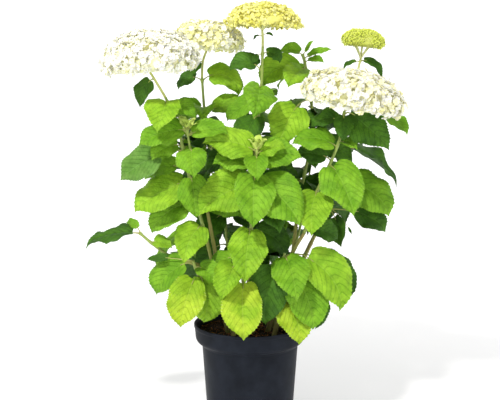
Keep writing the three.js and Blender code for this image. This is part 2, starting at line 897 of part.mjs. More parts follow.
// The first swerve of a leaf that clears what it doesn't grow from and, past its root, its own kin
function clearForm(leaf, strangers, kin) {
  for (const swerve of SWERVES) {
    const trial = swerved(leaf, swerve);
    const tip = leafFrame(trial, trial.stalk + trial.blade).centre;
    const whole = withBox(leafSolid(trial, 0));
    const beyondRoot = withBox(leafSolid(trial, 1));
    const inReach = tip.distanceTo(trial.node) < REACH;
    if (inReach && isClear(whole, strangers) && isClear(beyondRoot, kin)) {
      return { whole, beyondRoot };
    }
  }
  return null;
}

const drawHeads = seeded(SEEDS.heads);
const drawBracts = seeded(SEEDS.bracts);
const heads = HEADS.map((head) => {
  const solid = headSolid(head, drawHeads);
  const look = head.young ? COLOURS.youngFlower : COLOURS.flower;
  keep(`flower_head_${head.name}`, solid, look);
  const shoot = SHOOTS.find((other) => other.name === head.shoot);
  return { head, stalk: loft(limbRings(head.stalk, FLOWER_STALK, endHeading(shoot.stem))) };
});

for (const { head, stalk } of heads) {
  const path = pathOf(head.stalk);
  const kin = [withBox(stalk)];
  let whole = stalk;
  for (const row of head.bracts) {
    const form = clearForm(leafOf(row, path, LEAF.lean, drawBracts), placed, kin);
    if (form) {
      whole = whole.add(form.whole.solid);
      kin.push(form.beyondRoot);
    }
  }
  keep(`flower_stalk_${head.name}`, whole, COLOURS.stalk);
}

const masses = SHOOTS.map((shoot, order) => {
  const size = { ...STEM, tip: shoot.young ? STEM.youngTip : STEM.tip };
  const stem = loft(limbRings(shoot.stem, size, endHeading(woodPoints(shoot))));
  const leaves = leavesOf(shoot, SEEDS.leaves + SEEDS.step * order);
  return { shoot, stem, stemBox: withBox(stem), leaves, bodies: [], grown: [] };
});

// A leaf that no swerve clears of the other masses, limbs, heads and pot is left out.
function growLeaf(mass, leaf) {
  const others = masses.filter((other) => other !== mass);
  const strangers = [
    ...placed,
    ...others.map((other) => other.stemBox),
    ...others.flatMap((other) => other.bodies),
  ];
  const form = clearForm(leaf, strangers, [mass.stemBox, ...mass.grown]);
  if (form) {
    mass.bodies.push(form.whole);
    mass.grown.push(form.beyondRoot);
  }
}

// The leaves of the named rows come first on every shoot, and then what the rule adds.
for (const named of [true, false]) {
  for (const mass of masses) {
    const count = mass.shoot.leaves.length;
    const round = named ? mass.leaves.slice(0, count) : mass.leaves.slice(count);
    round.forEach((leaf) => growLeaf(mass, leaf));
  }
}

for (const mass of masses) {
  const whole = mass.bodies.reduce((sum, body) => sum.add(body.solid), mass.stem);
  keep(`foliage_${mass.shoot.name}`, whole, COLOURS.leaf);
}

export default plant;
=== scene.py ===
import json
import math

import bpy
import numpy as np
from mathutils.kdtree import KDTree
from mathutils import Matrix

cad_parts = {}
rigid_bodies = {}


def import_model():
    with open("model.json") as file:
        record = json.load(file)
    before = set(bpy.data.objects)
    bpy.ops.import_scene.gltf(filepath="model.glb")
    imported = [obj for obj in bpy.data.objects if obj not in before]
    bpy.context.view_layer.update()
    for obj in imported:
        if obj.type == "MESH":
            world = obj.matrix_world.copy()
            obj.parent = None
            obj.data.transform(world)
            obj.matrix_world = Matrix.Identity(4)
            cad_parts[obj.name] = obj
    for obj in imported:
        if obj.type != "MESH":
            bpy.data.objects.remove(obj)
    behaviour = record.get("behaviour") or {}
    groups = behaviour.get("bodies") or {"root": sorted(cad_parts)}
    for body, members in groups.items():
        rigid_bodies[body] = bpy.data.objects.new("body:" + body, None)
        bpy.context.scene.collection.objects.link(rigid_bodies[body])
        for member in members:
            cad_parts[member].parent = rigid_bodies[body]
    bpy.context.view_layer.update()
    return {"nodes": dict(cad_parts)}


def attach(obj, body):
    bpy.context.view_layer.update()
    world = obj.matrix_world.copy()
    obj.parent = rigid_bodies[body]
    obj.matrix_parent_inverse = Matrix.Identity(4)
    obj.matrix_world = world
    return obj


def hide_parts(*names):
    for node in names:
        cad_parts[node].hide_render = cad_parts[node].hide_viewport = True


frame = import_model()

METRE = 0.001
UP = np.array([0, 0, 1.0])

# In radians: a full turn, and how far a wave's start is drawn
TURN = 2 * math.pi
ANY_PHASE = 6.3

# The camera stands where the photograph's pot rim and taper put it.
CAMERA = {"distance": 1994, "height": 726, "down": 7.97, "lens": 72, "sensor": 36}

# Dimensions and growth rules that the part's source has too
POT = {
    "height": 195, "rimRadius": 114.5, "bandRadius": 111.5, "bandHeight": 27, "chamferHeight": 18,
    "coveHeight": 13.5, "shoulderRadius": 98, "footRadius": 87, "wall": 2.4, "floor": 3,
}
BAND_FOOT = POT["height"] - POT["bandHeight"]
SHOULDER = BAND_FOOT - POT["chamferHeight"]
DRAIN = {"count": 6, "radius": 5, "ring": 62}
SOIL_LEVEL = 178
SOIL_CROWN = 2
CANE = {"foot": 5, "tip": 3.3}
BRANCH = {"foot": 3.6, "tip": 3.1}
STEM = {"foot": 3.2, "tip": 2.6, "youngTip": 1.8}
FLOWER_STALK = {"foot": 2.6, "tip": 2.3}
LEAST_BEND = math.radians(0.01)
LEAF = {
    "width": 0.7, "widestAt": 0.36, "roundness": 0.8, "base": 0.1, "tip": 0.025, "stalkShare": 0.2,
    "rise": 35, "arch": 48, "lean": 52,
}
DRAWN = {
    "arch": (0.7, 1.3), "rise": (0.6, 1.4), "twist": (-8, 8), "fold": (4, 13), "width": (0.94, 1.08),
}
YOUNG = {
    "pairs": 2, "below": 1, "spacing": 5, "heading": -60, "blade": 34, "shrink": 0.72, "hang": -30,
    "droop": 25, "arch": 40, "slim": 0.62, "stalk": 9,
}
RULE = {"top": 14, "foot": 12, "blade": (74, 128), "fullAt": 0.6, "hang": (2, 50)}
FILL = {"height": (0.15, 0.75), "heading": (40, 140), "blade": (80, 110), "hang": (15, 40)}
LEHMER = {"multiplier": 16807, "modulus": 2147483647}
SWERVES = (
    (0, 0), (7, 0), (-7, 0), (0, 7), (0, -7), (14, 0), (-14, 0), (7, 7), (-7, 7),
    (7, -7), (-7, -7), (21, 0), (-21, 0), (0, 14), (0, -14), (14, 14), (-14, 14),
)

# The first three are the source's seeds, and the others the scene's own.
SEEDS = {"bracts": 77, "leaves": 101, "step": 17, "peat": 5, "wood": 21, "foliage": 7, "domes": 1}

# Corners of a solid's leaf that are looked for in its mesh, and how near they have to be
PROBE = {"shares": (0.42, 0.42, 0.76, 1.0), "sides": (1, -1, 1, -1), "baseUpTo": 0.5, "near": 0.3}

# Finer growth that only the scene has
# The last share is how many inner leaves take the darker leaf colours, painted shade
INNER = {
    "trials": 90, "most": 6, "height": (0.02, 0.8), "blade": (52, 96), "hang": (5, 60), "lean": 18,
    "reach": (165, 150), "lowest": 215, "front": -55, "clear": 8, "deep": 0.6,
}
TUFT = {"leaves": 6, "below": 5, "scatter": 40, "blade": (17, 29), "hang": (-74, -30)}
SAMPLES = {"along": 14, "across": 9, "from": 0.12, "least": 0.03, "limb": 30, "dome": 300, "domeTo": 120}

# A blade's outline and mesh, in millimetres or as shares of its length or width
BLADE = {
    "toothLength": 4.2, "tooth": (0.014, 1.6), "leastTooth": 0.2, "toothDrawn": (0.55, 0.9),
    "notch": -0.45, "point": 0.55, "rows": (8, 44), "sides": ((60, 7), (30, 5), (0, 3)),
    "outward": 0.86, "widest": (0.33, 0.45), "fullness": (1.7, 2.5), "baseWidth": 0.4,
    "baseRound": (2.3, 0.7), "tipWidth": 0.008, "tipRound": 1.1, "drip": 0.4, "dripFrom": 0.7,
    "dripOver": 0.25, "lobe": 0.03, "lobeTo": 0.3, "uneven": 0.12, "irregular": 0.034, "veins": 6.8,
    "veinLean": 1.15, "veinCurve": 0.45, "sway": 0.1, "thin": 0.3, "thicken": 0.0024,
}

# How a blade's upper face rises and falls. A pair is the least value and what a draw adds to it.
RELIEF = {
    "fold": 1.5, "quilt": 0.018, "quiltDrawn": (0.55, 1.3), "level": 0.6, "flatter": 0.5,
    "ribWidth": 0.12, "wander": 0.12, "crumple": 0.2, "midrib": 1.1, "midribWidth": 0.05,
    "ripple": 0.042, "rippleDrawn": (0.4, 1.2), "rippleTurns": (1.0, 1.1), "crimp": 0.018,
    "crimpTurns": (2.6, 1.6), "swell": 0.035, "sag": 0.04, "tilt": 0.09, "curl": (-0.08, 0.4),
    "hook": 0.09, "hookFrom": 0.8,
}
STALK = {
    "root": 1.7, "blade": 1.15, "fullFrom": 60, "end": 0.7, "flare": 1.25, "step": 6, "into": 0.1,
    "under": 0.4, "sides": 7,
}
GREEN_STEM = {"step": 3.5, "sides": 10, "swell": 0.22, "swellLength": 3.0}
BARK = {
    "step": 3.2, "sides": 14, "caneFlare": 1.08, "waves": (3, 5, 8), "ridge": 0.035, "grain": 0.022,
    "scar": 0.17, "scarLength": 3.4, "firstScar": (30, 25), "nextScar": (42, 34), "clear": 12,
}

# Corners at the pot's foot, as a step out from its radius and a height, and the rounding of corners
FOOT_RING = ((-6, 1.2), (-4.5, 0), (-0.6, 0), (0.8, 3), (1.1, 8))
ROUNDING = {"radius": 0.8, "steps": 3}
POT_SIDES = 160
DRILL = {"heights": (-5.0, 0.0, 6.0), "sides": 20, "leastFaces": 1000}
PEAT = {
    "clear": 1.2, "rings": 64, "sides": 150, "middle": 0.005, "spread": 0.8, "grain": 0.45,
    "crownRadius": 95.6, "drop": 0.9, "lump": 0.7, "skirt": 169.0, "inside": 0.6, "above": 0.5,
}
PEAT_RADIUS = POT["bandRadius"] - POT["wall"] - PEAT["clear"]

# The peat's lumps: height, waves in x and y, and where those waves start
LUMPS = ((0.9, 0.09, 0.11, 0.3, 1.1), (0.7, 0.23, 0.19, 2.0, 0.4), (0.5, 0.47, 0.53, 1.0, 2.6))

# Crumbs and fibres on the peat, where a pair is the least value and what a draw adds to it
CRUMBS = {
    "count": 2600, "reach": 0.985, "brown": 0.16, "rise": 0.35, "size": (0.6, 2.3), "mostSmall": 2.4,
    "wide": (0.55, 0.45), "high": (0.5, 0.4), "rough": 0.25,
}
CRUMB = np.array([[1, 0, 0], [0, 1, 0], [-1, 0, 0], [0, -1, 0], [0, 0, 1], [0, 0, -1.0]])
CRUMB_FACES = np.array([
    [0, 1, 4, 4], [1, 2, 4, 4], [2, 3, 4, 4], [3, 0, 4, 4],
    [1, 0, 5, 5], [2, 1, 5, 5], [3, 2, 5, 5], [0, 3, 5, 5],
])
FIBRES = {
    "count": 240, "reach": 0.94, "edge": 0.98, "length": (4, 13), "radius": (0.22, 0.22), "points": 5,
    "bend": 0.7, "rise": 0.7, "arch": 0.9,
}

# How florets are spread over a dome, with ragged sides and a fringe of lower ones at its edge
DOME = {
    "samples": 400, "step": 0.01, "shift": 0.015, "turn": 0.05, "raggedFully": 1.2, "fringeFrom": 1.0,
    "fringeOver": 0.7, "fringeFew": 1.6, "fringeOut": 0.3,
}
CLUSTER = {"florets": 22, "lift": 0.95, "level": 0.8}

# A floret's measures as shares of its radius. A sepal's rows say how far out they are, how wide
# and how far their middle dips, and a bud's say how high they are and how wide.
FLORET = {
    "inset": 0.9, "size": (0.78, 0.44), "cup": (0.10, 0.22), "patch": 0.18, "inner": 0.06, "wide": 0.54,
    "dip": 0.7, "overlap": 0.06, "bead": 0.15, "beadFoot": 0.04, "beadTop": 0.26,
}
SEPAL_ROWS = (
    (0.0, 0.05, 0.0), (0.28, 0.62, 0.10), (0.58, 0.98, 0.16), (0.84, 0.78, 0.10), (1.0, 0.22, 0.0),
)
BUD_ROWS = ((0.55, 0.75), (0.0, 1.0), (-0.6, 0.6))
CORE = {
    "sides": 40, "rows": 14, "wobble": 0.035, "grain": 0.02, "sunk": 1.5, "under": 0.42,
    "closing": (0.72, 0.4, 0.1),
}
RAY = {
    "reach": 0.42, "rise": 0.62, "middle": 0.75, "points": 8, "sides": 7, "radius": (2.0, 1.3),
    "middleRadii": (2.2, 2.0, 1.6),
}
PEDICEL = {"sag": 3.0, "radii": (0.75, 0.55, 0.4), "sides": 3}

# The heads' florets: what full-grown heads share, and how each head differs
FULL_GROWN = {
    "floret": 6.1, "lump": 3.2, "loose": 2.1, "ragged": 0.03, "fringe": 8, "tilt": 0.4, "core": 0.87,
    "pedicels": 0.4, "heart": "head_core",
}
DRESS = {
    "left": {"seed": 31, "florets": 1020, "creamy": 0.24, "lowest": 118, "petals": ("white", "soft")},
    "upper_left": {
        "seed": 32, "florets": 900, "floret": 5.2, "lump": 3.0, "loose": 1.9, "ragged": 0.04,
        "fringe": 10, "creamy": 0.45, "lowest": 116, "petals": ("pale", "cream"),
    },
    "top": {
        "seed": 33, "florets": 1250, "floret": 3.8, "lump": 2.8, "loose": 1.7, "ragged": 0.045,
        "fringe": 9, "tilt": 0.45, "creamy": 0.4, "lowest": 104, "budded": 0.25, "core": 0.92,
        "pedicels": 0.3, "petals": ("butter", "lemon"), "heart": "head_core_yellow",
    },
    "small": {
        "seed": 34, "florets": 1050, "floret": 1.9, "lump": 1.8, "loose": 0.8, "ragged": 0.045,
        "fringe": 3, "tilt": 0.35, "creamy": 0.45, "lowest": 122, "buds": True, "core": 0.92,
        "pedicels": 0.2, "petals": ("lime", "green"), "heart": "head_core_green",
    },
    "right": {"seed": 35, "florets": 1120, "creamy": 0.38, "lowest": 120, "petals": ("white", "ivory")},
}
PETALS = {
    "petal_white": ("#f2f1e0", "#fafaf2"),
    "petal_ivory": ("#f6f2bc", "#fcfad6"),
    "petal_soft": ("#f5f4d4", "#fcfce8"),
    "petal_cream": ("#fdf9b0", "#fffdc4"),
    "petal_pale": ("#fffde0", "#fffff0"),
    "petal_butter": ("#eee884", "#f6f29a"),
    "petal_lemon": ("#e2dd64", "#ece880"),
    "petal_lime": ("#ccd854", "#dbe568"),
    "petal_green": ("#bac846", "#cbd758"),
    "flower_bead": ("#ded974", "#ece8a0"),
    # The heads' insides between the florets: the pale cream of inner florets, partly painted light for
    # light shining through the petals
    "head_core": ("#f8f4b4", "#fffcd0"),
    "head_core_yellow": ("#d6d066", "#e2dd7e"),
    "head_core_green": ("#b4be50", "#c6ce62"),
}

# Each tone has its darker patches, its lighter patches and its veins.
LEAF_TONES = {
    "mid": ("#66991b", "#7eb028", "#9cc250"),
    # A lighter copy of the leaf colours: partly the paler green of younger leaves, partly painted light
    # on leaves that lie in shade
    "light": ("#7cab22", "#94c02e", "#aacb58"),
    "yellow": ("#8cb424", "#aeca34", "#c4d860"),
    # Painted shade: a darker copy of the leaf colours, for leaves that lie in shade
    "deep": ("#365e17", "#4b791d", "#68923e"),
    "blue": ("#5f8c36", "#739b47", "#8cb468"),
    "fresh": ("#cfe868", "#ecf894", "#f0f8b0"),
}
UNDERSIDES = {
    "mid": ("#78a530", "#8ab640", "#b2cc78"),
    # The lighter copy's underside, partly paler green and partly painted light
    "light": ("#86b336", "#98c246", "#bcd680"),
    "yellow": ("#a8c350", "#bcd264", "#d8e49a"),
    # The darker copy's underside, painted shade
    "deep": ("#43692a", "#527a34", "#7e9e5c"),
    "blue": ("#6f9656", "#80a768", "#aec694"),
    "fresh": ("#c8e068", "#e2f088", "#eaf4a8"),
}
TONE_ORDER = list(LEAF_TONES)
LETTERS = {tone[0]: tone for tone in LEAF_TONES}
# Tones drawn at random for the rule's leaves: the darker ones are painted shade, the light one partly
# painted light
RULE_TONES = ("mid", "deep", "light", "deep")

# The scale of the patches in a leaf's colour, and where they start and end in the noise
PATCHES = (30.0, 0.38, 0.62)
YELLOW_PATCHES = (15.0, 0.42, 0.58)

# The tone of each leaf row, by the first letter of its name. Rows lettered d take the darker leaf
# colours, painted shade; rows lettered l the lighter ones, partly paler young green, partly painted
# light.
ROW_TONES = {
    "left": "lmmmbmmlmmml",
    "left_tip": "mmmm",
    "upper_left": "dlmmlmmmdmdddd",
    "upper_middle": "dddmmmdmddddd",
    "upper_right": "mmmmllllmddddd",
    "right_flower": "dddmmmddldd",
    "right": "mddddmddddd",
    "centre": "llmmmmdmlmld",
    "low_middle": "ylmd",
    "low_right": "mmlddddyd",
    "low_left": "dmmydl",
    "side": "dml",
}

# The studio, in metres: its floor's rings, the curve and height of its wall, and its glow
STAGE = {
    "rings": (0.001, 0.4, 1.0, 2.0, 3.4), "curve": 1.0, "height": 2.2, "sides": 72,
    "glow": (0.4, 2.4, 0.42, 0.72), "grey": 0.62, "world": 0.45,
}

# Each light's place, what it points at, its size in metres, its energy and its colour
LIGHTS = {
    "key": ((-1.05, -1.85, 2.85), (0, 0, 0.5), 0.3, 80, (1.0, 0.98, 0.94)),
    "fill": ((1.8, -1.8, 1.2), (0, 0, 0.45), 1.6, 5, (1, 1, 1)),
    "back": ((0.4, 1.8, 2.4), (0, 0, 0.5), 1.4, 12, (1, 1, 1)),
}

# A row of "leaves" or "bracts" is its height on the stem, heading, blade, hang and stalk, and then what
# is given instead of drawn. "fill" says how many more leaves the rule draws.
SHOOTS = [
    {
        "name": "left",
        "wood": [[-44, -22, SOIL_LEVEL], [-62, -36, 270], [-88, -50, 385]],
        "stem": [[-88, -50, 385], [-119, -62, 505], [-141, -68, 610], [-162, -70, 655]],
        "leaves": [
            [646, -100, 92, 36, 14], [640, -20, 52, 28, 10], [608, 82, 84, 8],
            [560, -150, 64, 25, 12], [553, -168, 90, 32, 50, {"rise": 5, "arch": 25}],
            [512, 168, 80, 20, 24], [500, -60, 84, 76, 8], [488, -158, 114, 14, 16, {"arch": 35}],
            [470, 176, 66, 38, 14], [447, -166, 98, 38, 18], [440, 40, 90, 20],
            [402, -118, 90, 48, 14],
        ],
        "fill": 2,
    },
    {
        "name": "left_tip",
        "wood": [[-32, -46, SOIL_LEVEL], [-62, -38, 310], [-84, -40, 430]],
        "stem": [[-84, -40, 430], [-108, -68, 520], [-121, -86, 596]],
        "leaves": [
            [590, -162, 92, 14, 10, {"arch": 40}], [584, -4, 72, 0, 10], [556, -82, 76, 38, 20],
            [540, 88, 70, 10],
        ],
        "young": True,
        "fill": 1,
    },
    {
        "name": "upper_left",
        "wood": [[-30, 14, SOIL_LEVEL], [-36, 18, 250], [-44, 24, 330]],
        "stem": [[-44, 24, 330], [-56, 30, 442], [-76, 50, 543], [-92, 60, 615], [-98, 60, 690]],
        "leaves": [
            [684, 175, 50, 34, 16, {"rise": 48, "arch": 85}],
            [684, -8, 88, 31, 18, {"rise": 48, "arch": 105}], [624, -96, 70, 22, 14, {"arch": 80}],
            [622, -172, 62, 4, 12], [620, -16, 82, 8, 20], [585, 98, 96, 14],
            [548, -10, 88, 20, 20], [545, -172, 64, 10, 14], [490, 160, 96, 30], [470, -30, 90, 36],
            [412, -130, 86, 44, 16], [406, 30, 88, 30], [350, 165, 84, 44], [346, -60, 84, 50, 16],
        ],
        "fill": 2,
    },
    {
        "name": "upper_middle",
        "wood": [[2, 10, SOIL_LEVEL], [-2, 12, 270], [0, 12, 360]],
        "stem": [[0, 12, 360], [4, 10, 467], [16, 0, 607], [22, -8, 667], [25, -10, 752]],
        "leaves": [
            [738, -15, 40, 38, 9, {"rise": 30, "arch": 105}], [737, 180, 20, 60, 9],
            [703, 181, 64, 8, 16, {"rise": 62, "arch": 92}], [676, -99, 100, 36, 12, {"roll": -8}],
            [660, 80, 84, 12], [644, 168, 74, 34, 12], [612, -112, 78, 44, 16], [600, 60, 100, 22],
            [540, 150, 104, 30], [530, 20, 96, 30], [440, -45, 88, 40], [436, 130, 92, 36],
            [380, 10, 88, 44],
        ],
        "fill": 1,
    },
    {
        "name": "upper_right",
        "wood": [[91, -10, 385], [100, 25, 447]],
        "parent": "right_flower",
        "fork": 346,
        "stem": [[100, 25, 447], [124, 42, 560], [125, 50, 640], [112, 50, 716], [106, 50, 738]],
        "leaves": [
            [736, 176, 44, -2, 8, {"arch": 55}], [737, 20, 30, -52, 9, {"arch": 10, "slim": 0.4}],
            [729, -4, 52, -16, 10, {"arch": 30, "slim": 0.45}],
            [721, -30, 38, 6, 9, {"arch": 60, "slim": 0.7}],
            [700, 187, 88, 39, 22, {"rise": 10, "arch": 95}], [708, -112, 76, 26, 12],
            [700, 140, 80, 28, 12], [646, -125, 108, 50, 58, {"rise": 5, "arch": 40}],
            [640, 108, 78, 20, 16], [618, 60, 88, 18], [590, 150, 80, 24], [560, 20, 92, 30],
            [500, 100, 104, 30], [480, -150, 80, 46, 12],
        ],
        "fill": 2,
    },
    {
        "name": "right_flower",
        "wood": [[36, -16, SOIL_LEVEL], [58, -22, 272], [85, -26, 344], [108, -30, 385]],
        "stem": [[108, -30, 385], [132, -35, 467], [159, -38, 528], [176, -40, 575], [184, -40, 628]],
        "leaves": [
            [622, -26, 108, 40, 14, {"roll": 10}], [618, -94, 56, 60, 10], [606, 160, 66, 14, 14],
            [558, -168, 86, -4, 10], [566, -50, 44, 15, 10], [520, -60, 118, 48, 12, {"rise": 20}],
            [530, 166, 66, 0, 12], [500, 30, 84, 26], [470, -100, 102, 46, 22], [466, 72, 98, 30],
            [388, 14, 66, 20, 14],
        ],
        "fill": 1,
    },
    {
        "name": "right",
        "wood": [[46, 16, SOIL_LEVEL], [112, 45, 320], [160, 60, 416]],
        "stem": [[160, 60, 416], [192, 75, 500], [207, 80, 560], [216, 85, 640], [220, 85, 680]],
        "leaves": [
            [622, -14, 68, 38, 64, {"rise": 12, "arch": 30, "roll": -15}], [650, 100, 80, 10, 16],
            [590, 150, 90, 16], [546, 2, 126, 38, 12, {"rise": 10, "arch": 20, "roll": -40}],
            [530, 92, 108, 20], [474, -14, 120, 36, 20, {"rise": 10}], [470, 170, 84, 30],
            [420, 0, 84, 32, 56, {"rise": 0}], [421, -40, 66, 78, 24, {"rise": -30, "roll": 60}],
            [424, -22, 16, 62, 60, {"rise": -30, "arch": 10, "slim": 0.5}], [430, 90, 104, 34],
        ],
        "fill": 1,
    },
    {
        "name": "centre",
        "wood": [[4, -34, SOIL_LEVEL], [0, -50, 280], [0, -56, 360]],
        "stem": [[0, -56, 360], [6, -65, 470], [14, -70, 556]],
        "leaves": [
            [551, -168, 102, -10, 9, {"arch": 42}], [546, -20, 54, -12, 8], [540, -88, 62, 44, 12],
            [524, -172, 80, -2, 8], [526, -8, 86, -8, 10], [511, 140, 84, 4, 16],
            [488, 12, 80, 20, 12], [494, -36, 122, 40, 18], [482, -157, 118, 26, 12, {"arch": 40}],
            [502, -91, 114, 54, 16], [398, -98, 112, 58, 16], [396, 100, 84, 34, 14],
        ],
        "young": True,
        "fill": 1,
    },
    {
        "name": "low_middle",
        "wood": [[-12, -58, SOIL_LEVEL], [-10, -66, 215], [-10, -72, 250]],
        "stem": [[-10, -72, 250], [-14, -78, 300], [-26, -82, 352]],
        "leaves": [
            [298, -88, 116, 58, 16], [332, -112, 80, 50, 20], [344, 150, 70, 44, 14],
            [290, -114, 78, 70, 12],
        ],
        "fill": 0,
    },
    {
        "name": "low_right",
        "wood": [[48, -46, SOIL_LEVEL], [56, -50, 215], [60, -54, 250]],
        "stem": [[60, -54, 250], [64, -58, 300], [68, -62, 350]],
        "leaves": [
            [342, -76, 106, 42, 12], [302, -42, 106, 64, 36], [342, -20, 128, 56, 52],
            [322, -140, 118, 70, 24], [300, 40, 90, 36], [276, -22, 88, 20, 14],
            [270, 0, 84, 70, 48], [264, -70, 108, 60, 12], [336, 4, 112, 52, 70],
        ],
        "fill": 1,
    },
    {
        "name": "low_left",
        "wood": [[-76, -50, 276], [-92, -58, 290]],
        "parent": "left",
        "fork": 262,
        "stem": [[-92, -58, 290], [-104, -62, 312], [-112, -66, 336]],
        "leaves": [
            [336, 176, 44, 4, 50, {"rise": 5, "arch": 20, "slim": 0.6}], [328, 178, 92, 46, 20],
            [322, -24, 60, 30, 12], [302, -134, 100, 60, 24], [300, 60, 80, 40],
            [308, -58, 98, 70, 14],
        ],
        "fill": 0,
    },
    {
        "name": "side",
        "wood": [[-120, -36, 326], [-160, -36, 338]],
        "parent": "left",
        "fork": 312,
        "stem": [[-160, -36, 338], [-194, -44, 366], [-218, -48, 388]],
        "leaves": [
            [387.9, -178, 100, 14, 14, {"rise": 10, "arch": 20, "roll": 46}],
            [387, 130, 44, -10, 14, {"rise": 70, "arch": 40, "slim": 0.6}], [368, -25, 42, 12, 8],
        ],
        "fill": 0,
    },
    {
        "name": "back_left",
        "wood": [[-40, 44, SOIL_LEVEL], [-74, 80, 300]],
        "stem": [[-74, 80, 300], [-108, 116, 420], [-128, 138, 560]],
        "leaves": [],
        "lean": -18,
        "young": True,
        "fill": 0,
        "rule": {"heading": 120, "pairs": 5},
    },
    {
        "name": "back_middle",
        "wood": [[4, 54, SOIL_LEVEL], [10, 96, 300]],
        "stem": [[10, 96, 300], [18, 130, 440], [22, 146, 610]],
        "leaves": [],
        "lean": -18,
        "young": True,
        "fill": 0,
        "rule": {"heading": 60, "pairs": 6},
    },
    {
        "name": "back_right",
        "wood": [[42, 44, SOIL_LEVEL], [82, 84, 290]],
        "stem": [[82, 84, 290], [116, 122, 410], [134, 142, 540]],
        "leaves": [],
        "lean": -18,
        "young": True,
        "fill": 0,
        "rule": {"heading": 30, "pairs": 5},
    },
]

HEADS = [
    {
        "name": "left",
        "stalk": [[-162, -70, 655], [-179, -70, 684], [-191, -70, 703]],
        "radius": 94, "height": 84, "middle": 22, "skirt": 24, "rayLength": 10, "lean": [-0.08, -0.04],
        "rays": 7,
        "bracts": [[690, 180, 58, 66, 9, {"arch": 30}]],
    },
    {
        "name": "upper_left",
        "stalk": [[-98, 60, 690], [-96, 60, 722], [-88, 60, 746]],
        "radius": 76, "height": 62, "middle": 16, "skirt": 14, "rayLength": 8, "lean": [0.05, 0.02],
        "rays": 7,
        "bracts": [[722, 205, 32, 60, 8]],
    },
    {
        "name": "top",
        "stalk": [[25, -10, 752], [25, -10, 768], [24, -10, 784]],
        "radius": 73, "height": 55, "middle": 12, "skirt": 3, "rayLength": 8, "lean": [0.03, 0],
        "rays": 7, "young": True,
        "bracts": [[772, 180, 15, 40, 8, {"slim": 0.6}], [775, 0, 15, 20, 8, {"slim": 0.6}]],
    },
    {
        "name": "small",
        "stalk": [[220, 85, 680], [223, 86, 706], [228, 87, 728]],
        "radius": 44, "height": 63, "middle": 38, "skirt": -14, "rayLength": 20, "lean": [0.1, 0],
        "rays": 5, "young": True,
        "bracts": [
            [722, 180, 34, 35, 9, {"slim": 0.45}], [723, -4, 58, 45, 9, {"arch": 70, "slim": 0.55}],
        ],
    },
    {
        "name": "right",
        "stalk": [[184, -40, 628], [191, -40, 633], [196, -41, 641]],
        "radius": 104, "height": 70, "middle": 14, "skirt": 24, "rayLength": 8, "lean": [0.2, -0.06],
        "rays": 7,
        "bracts": [],
    },
]


# Growth rule


def seeded(seed):
    """The source's own generator, so that both draw the same numbers"""
    state = seed

    def draw():
        nonlocal state
        state = (state * LEHMER["multiplier"]) % LEHMER["modulus"]
        return state / LEHMER["modulus"]

    return draw


def between(span, share):
    return span[0] + (span[1] - span[0]) * share


def drawn(span, rng):
    """A drawn value: the least that it may be, and what a draw adds to that"""
    return span[0] + span[1] * rng.rand()


class Path:
    """The smooth line through a few points that limbs follow"""

    def __init__(self, points):
        self.points = np.array(points, float)

    def at(self, t):
        points = self.points
        last = len(points) - 1
        place = min(max(t, 0.0), 1.0) * last
        index = min(int(place), last - 1)
        w = place - index
        b, c = points[index], points[index + 1]
        a = points[index - 1] if index > 0 else 2 * b - c
        d = points[index + 2] if index + 2 <= last else 2 * c - b
        tb, tc = 0.5 * (c - a), 0.5 * (d - b)
        return b + tb * w + (3 * (c - b) - 2 * tb - tc) * w * w + (2 * (b - c) + tb + tc) * w**3

    def places(self, shares):
        return np.array([self.at(t) for t in shares])

    def at_height(self, height, halvings=40):
        low, high = 0.0, 1.0
        for _ in range(halvings):
            middle = (low + high) / 2
            if self.at(middle)[2] < height:
                low = middle
            else:
                high = middle
        return self.at(low)

    def length(self, samples=60):
        places = self.places(np.linspace(0, 1, samples))
        return float(np.linalg.norm(np.diff(places, axis=0), axis=1).sum())


def spine(leaf, distance):
    """A leaf's middle line in its own upright plane, for an array of distances along it"""
    out = np.zeros_like(distance)
    up = np.zeros_like(distance)
    angle = np.full_like(distance, leaf["rise"])
    rest = distance.copy()
    for length, start, end in (
        (leaf["stalk"], leaf["rise"], leaf["start"]),
        (leaf["blade"], leaf["start"], leaf["end"]),
    ):
        part = np.clip(rest, 0, length)
        bend = (end - start or LEAST_BEND) / length
        turned = start + bend * part
        out += (np.sin(turned) - math.sin(start)) / bend
        up += (math.cos(start) - np.cos(turned)) / bend
        angle = np.where(rest > 0, turned, angle)
        rest = rest - length
    return out, up, angle


def leaf_places(leaf, distance, across, over):
    """Points beside and above a leaf's middle line, as an array of places"""
    out, up, angle = spine(leaf, distance)
    ahead = np.array([math.cos(leaf["heading"]), math.sin(leaf["heading"]), 0.0])
    left = np.array([-ahead[1], ahead[0], 0.0])
    along = np.cos(angle)[..., None] * ahead + np.sin(angle)[..., None] * UP
    above = np.cross(along, left)
    roll = leaf["roll"]
    rolled_left = left * math.cos(roll) + above * math.sin(roll)
    rolled_above = above * math.cos(roll) - left * math.sin(roll)
    centre = leaf["node"] + out[..., None] * ahead + up[..., None] * UP
    return centre + across[..., None] * rolled_left + over[..., None] * rolled_above


def outline(share):
    """Half the width of a solid's leaf as a share of its greatest"""
    power = math.log(0.5) / math.log(LEAF["widestAt"])
    wave = np.sin(math.pi * np.clip(share, 0, 1) ** power)
    return np.maximum(0, wave) ** LEAF["roundness"]


def young_rows(shoot):
    rows = []
    top = shoot["stem"][-1][2] - YOUNG["below"]
    differs = {"slim": YOUNG["slim"], "arch": YOUNG["arch"], "tone": "fresh"}
    for pair in range(YOUNG["pairs"]):
        height = top - YOUNG["spacing"] * pair
        blade = YOUNG["blade"] * YOUNG["shrink"] ** pair
        hang = YOUNG["hang"] - YOUNG["droop"] * pair
        heading = YOUNG["heading"] + 90 * pair
        for side in (0, 180):
            rows.append([height, heading + side, blade, hang, YOUNG["stalk"], differs])
    return rows


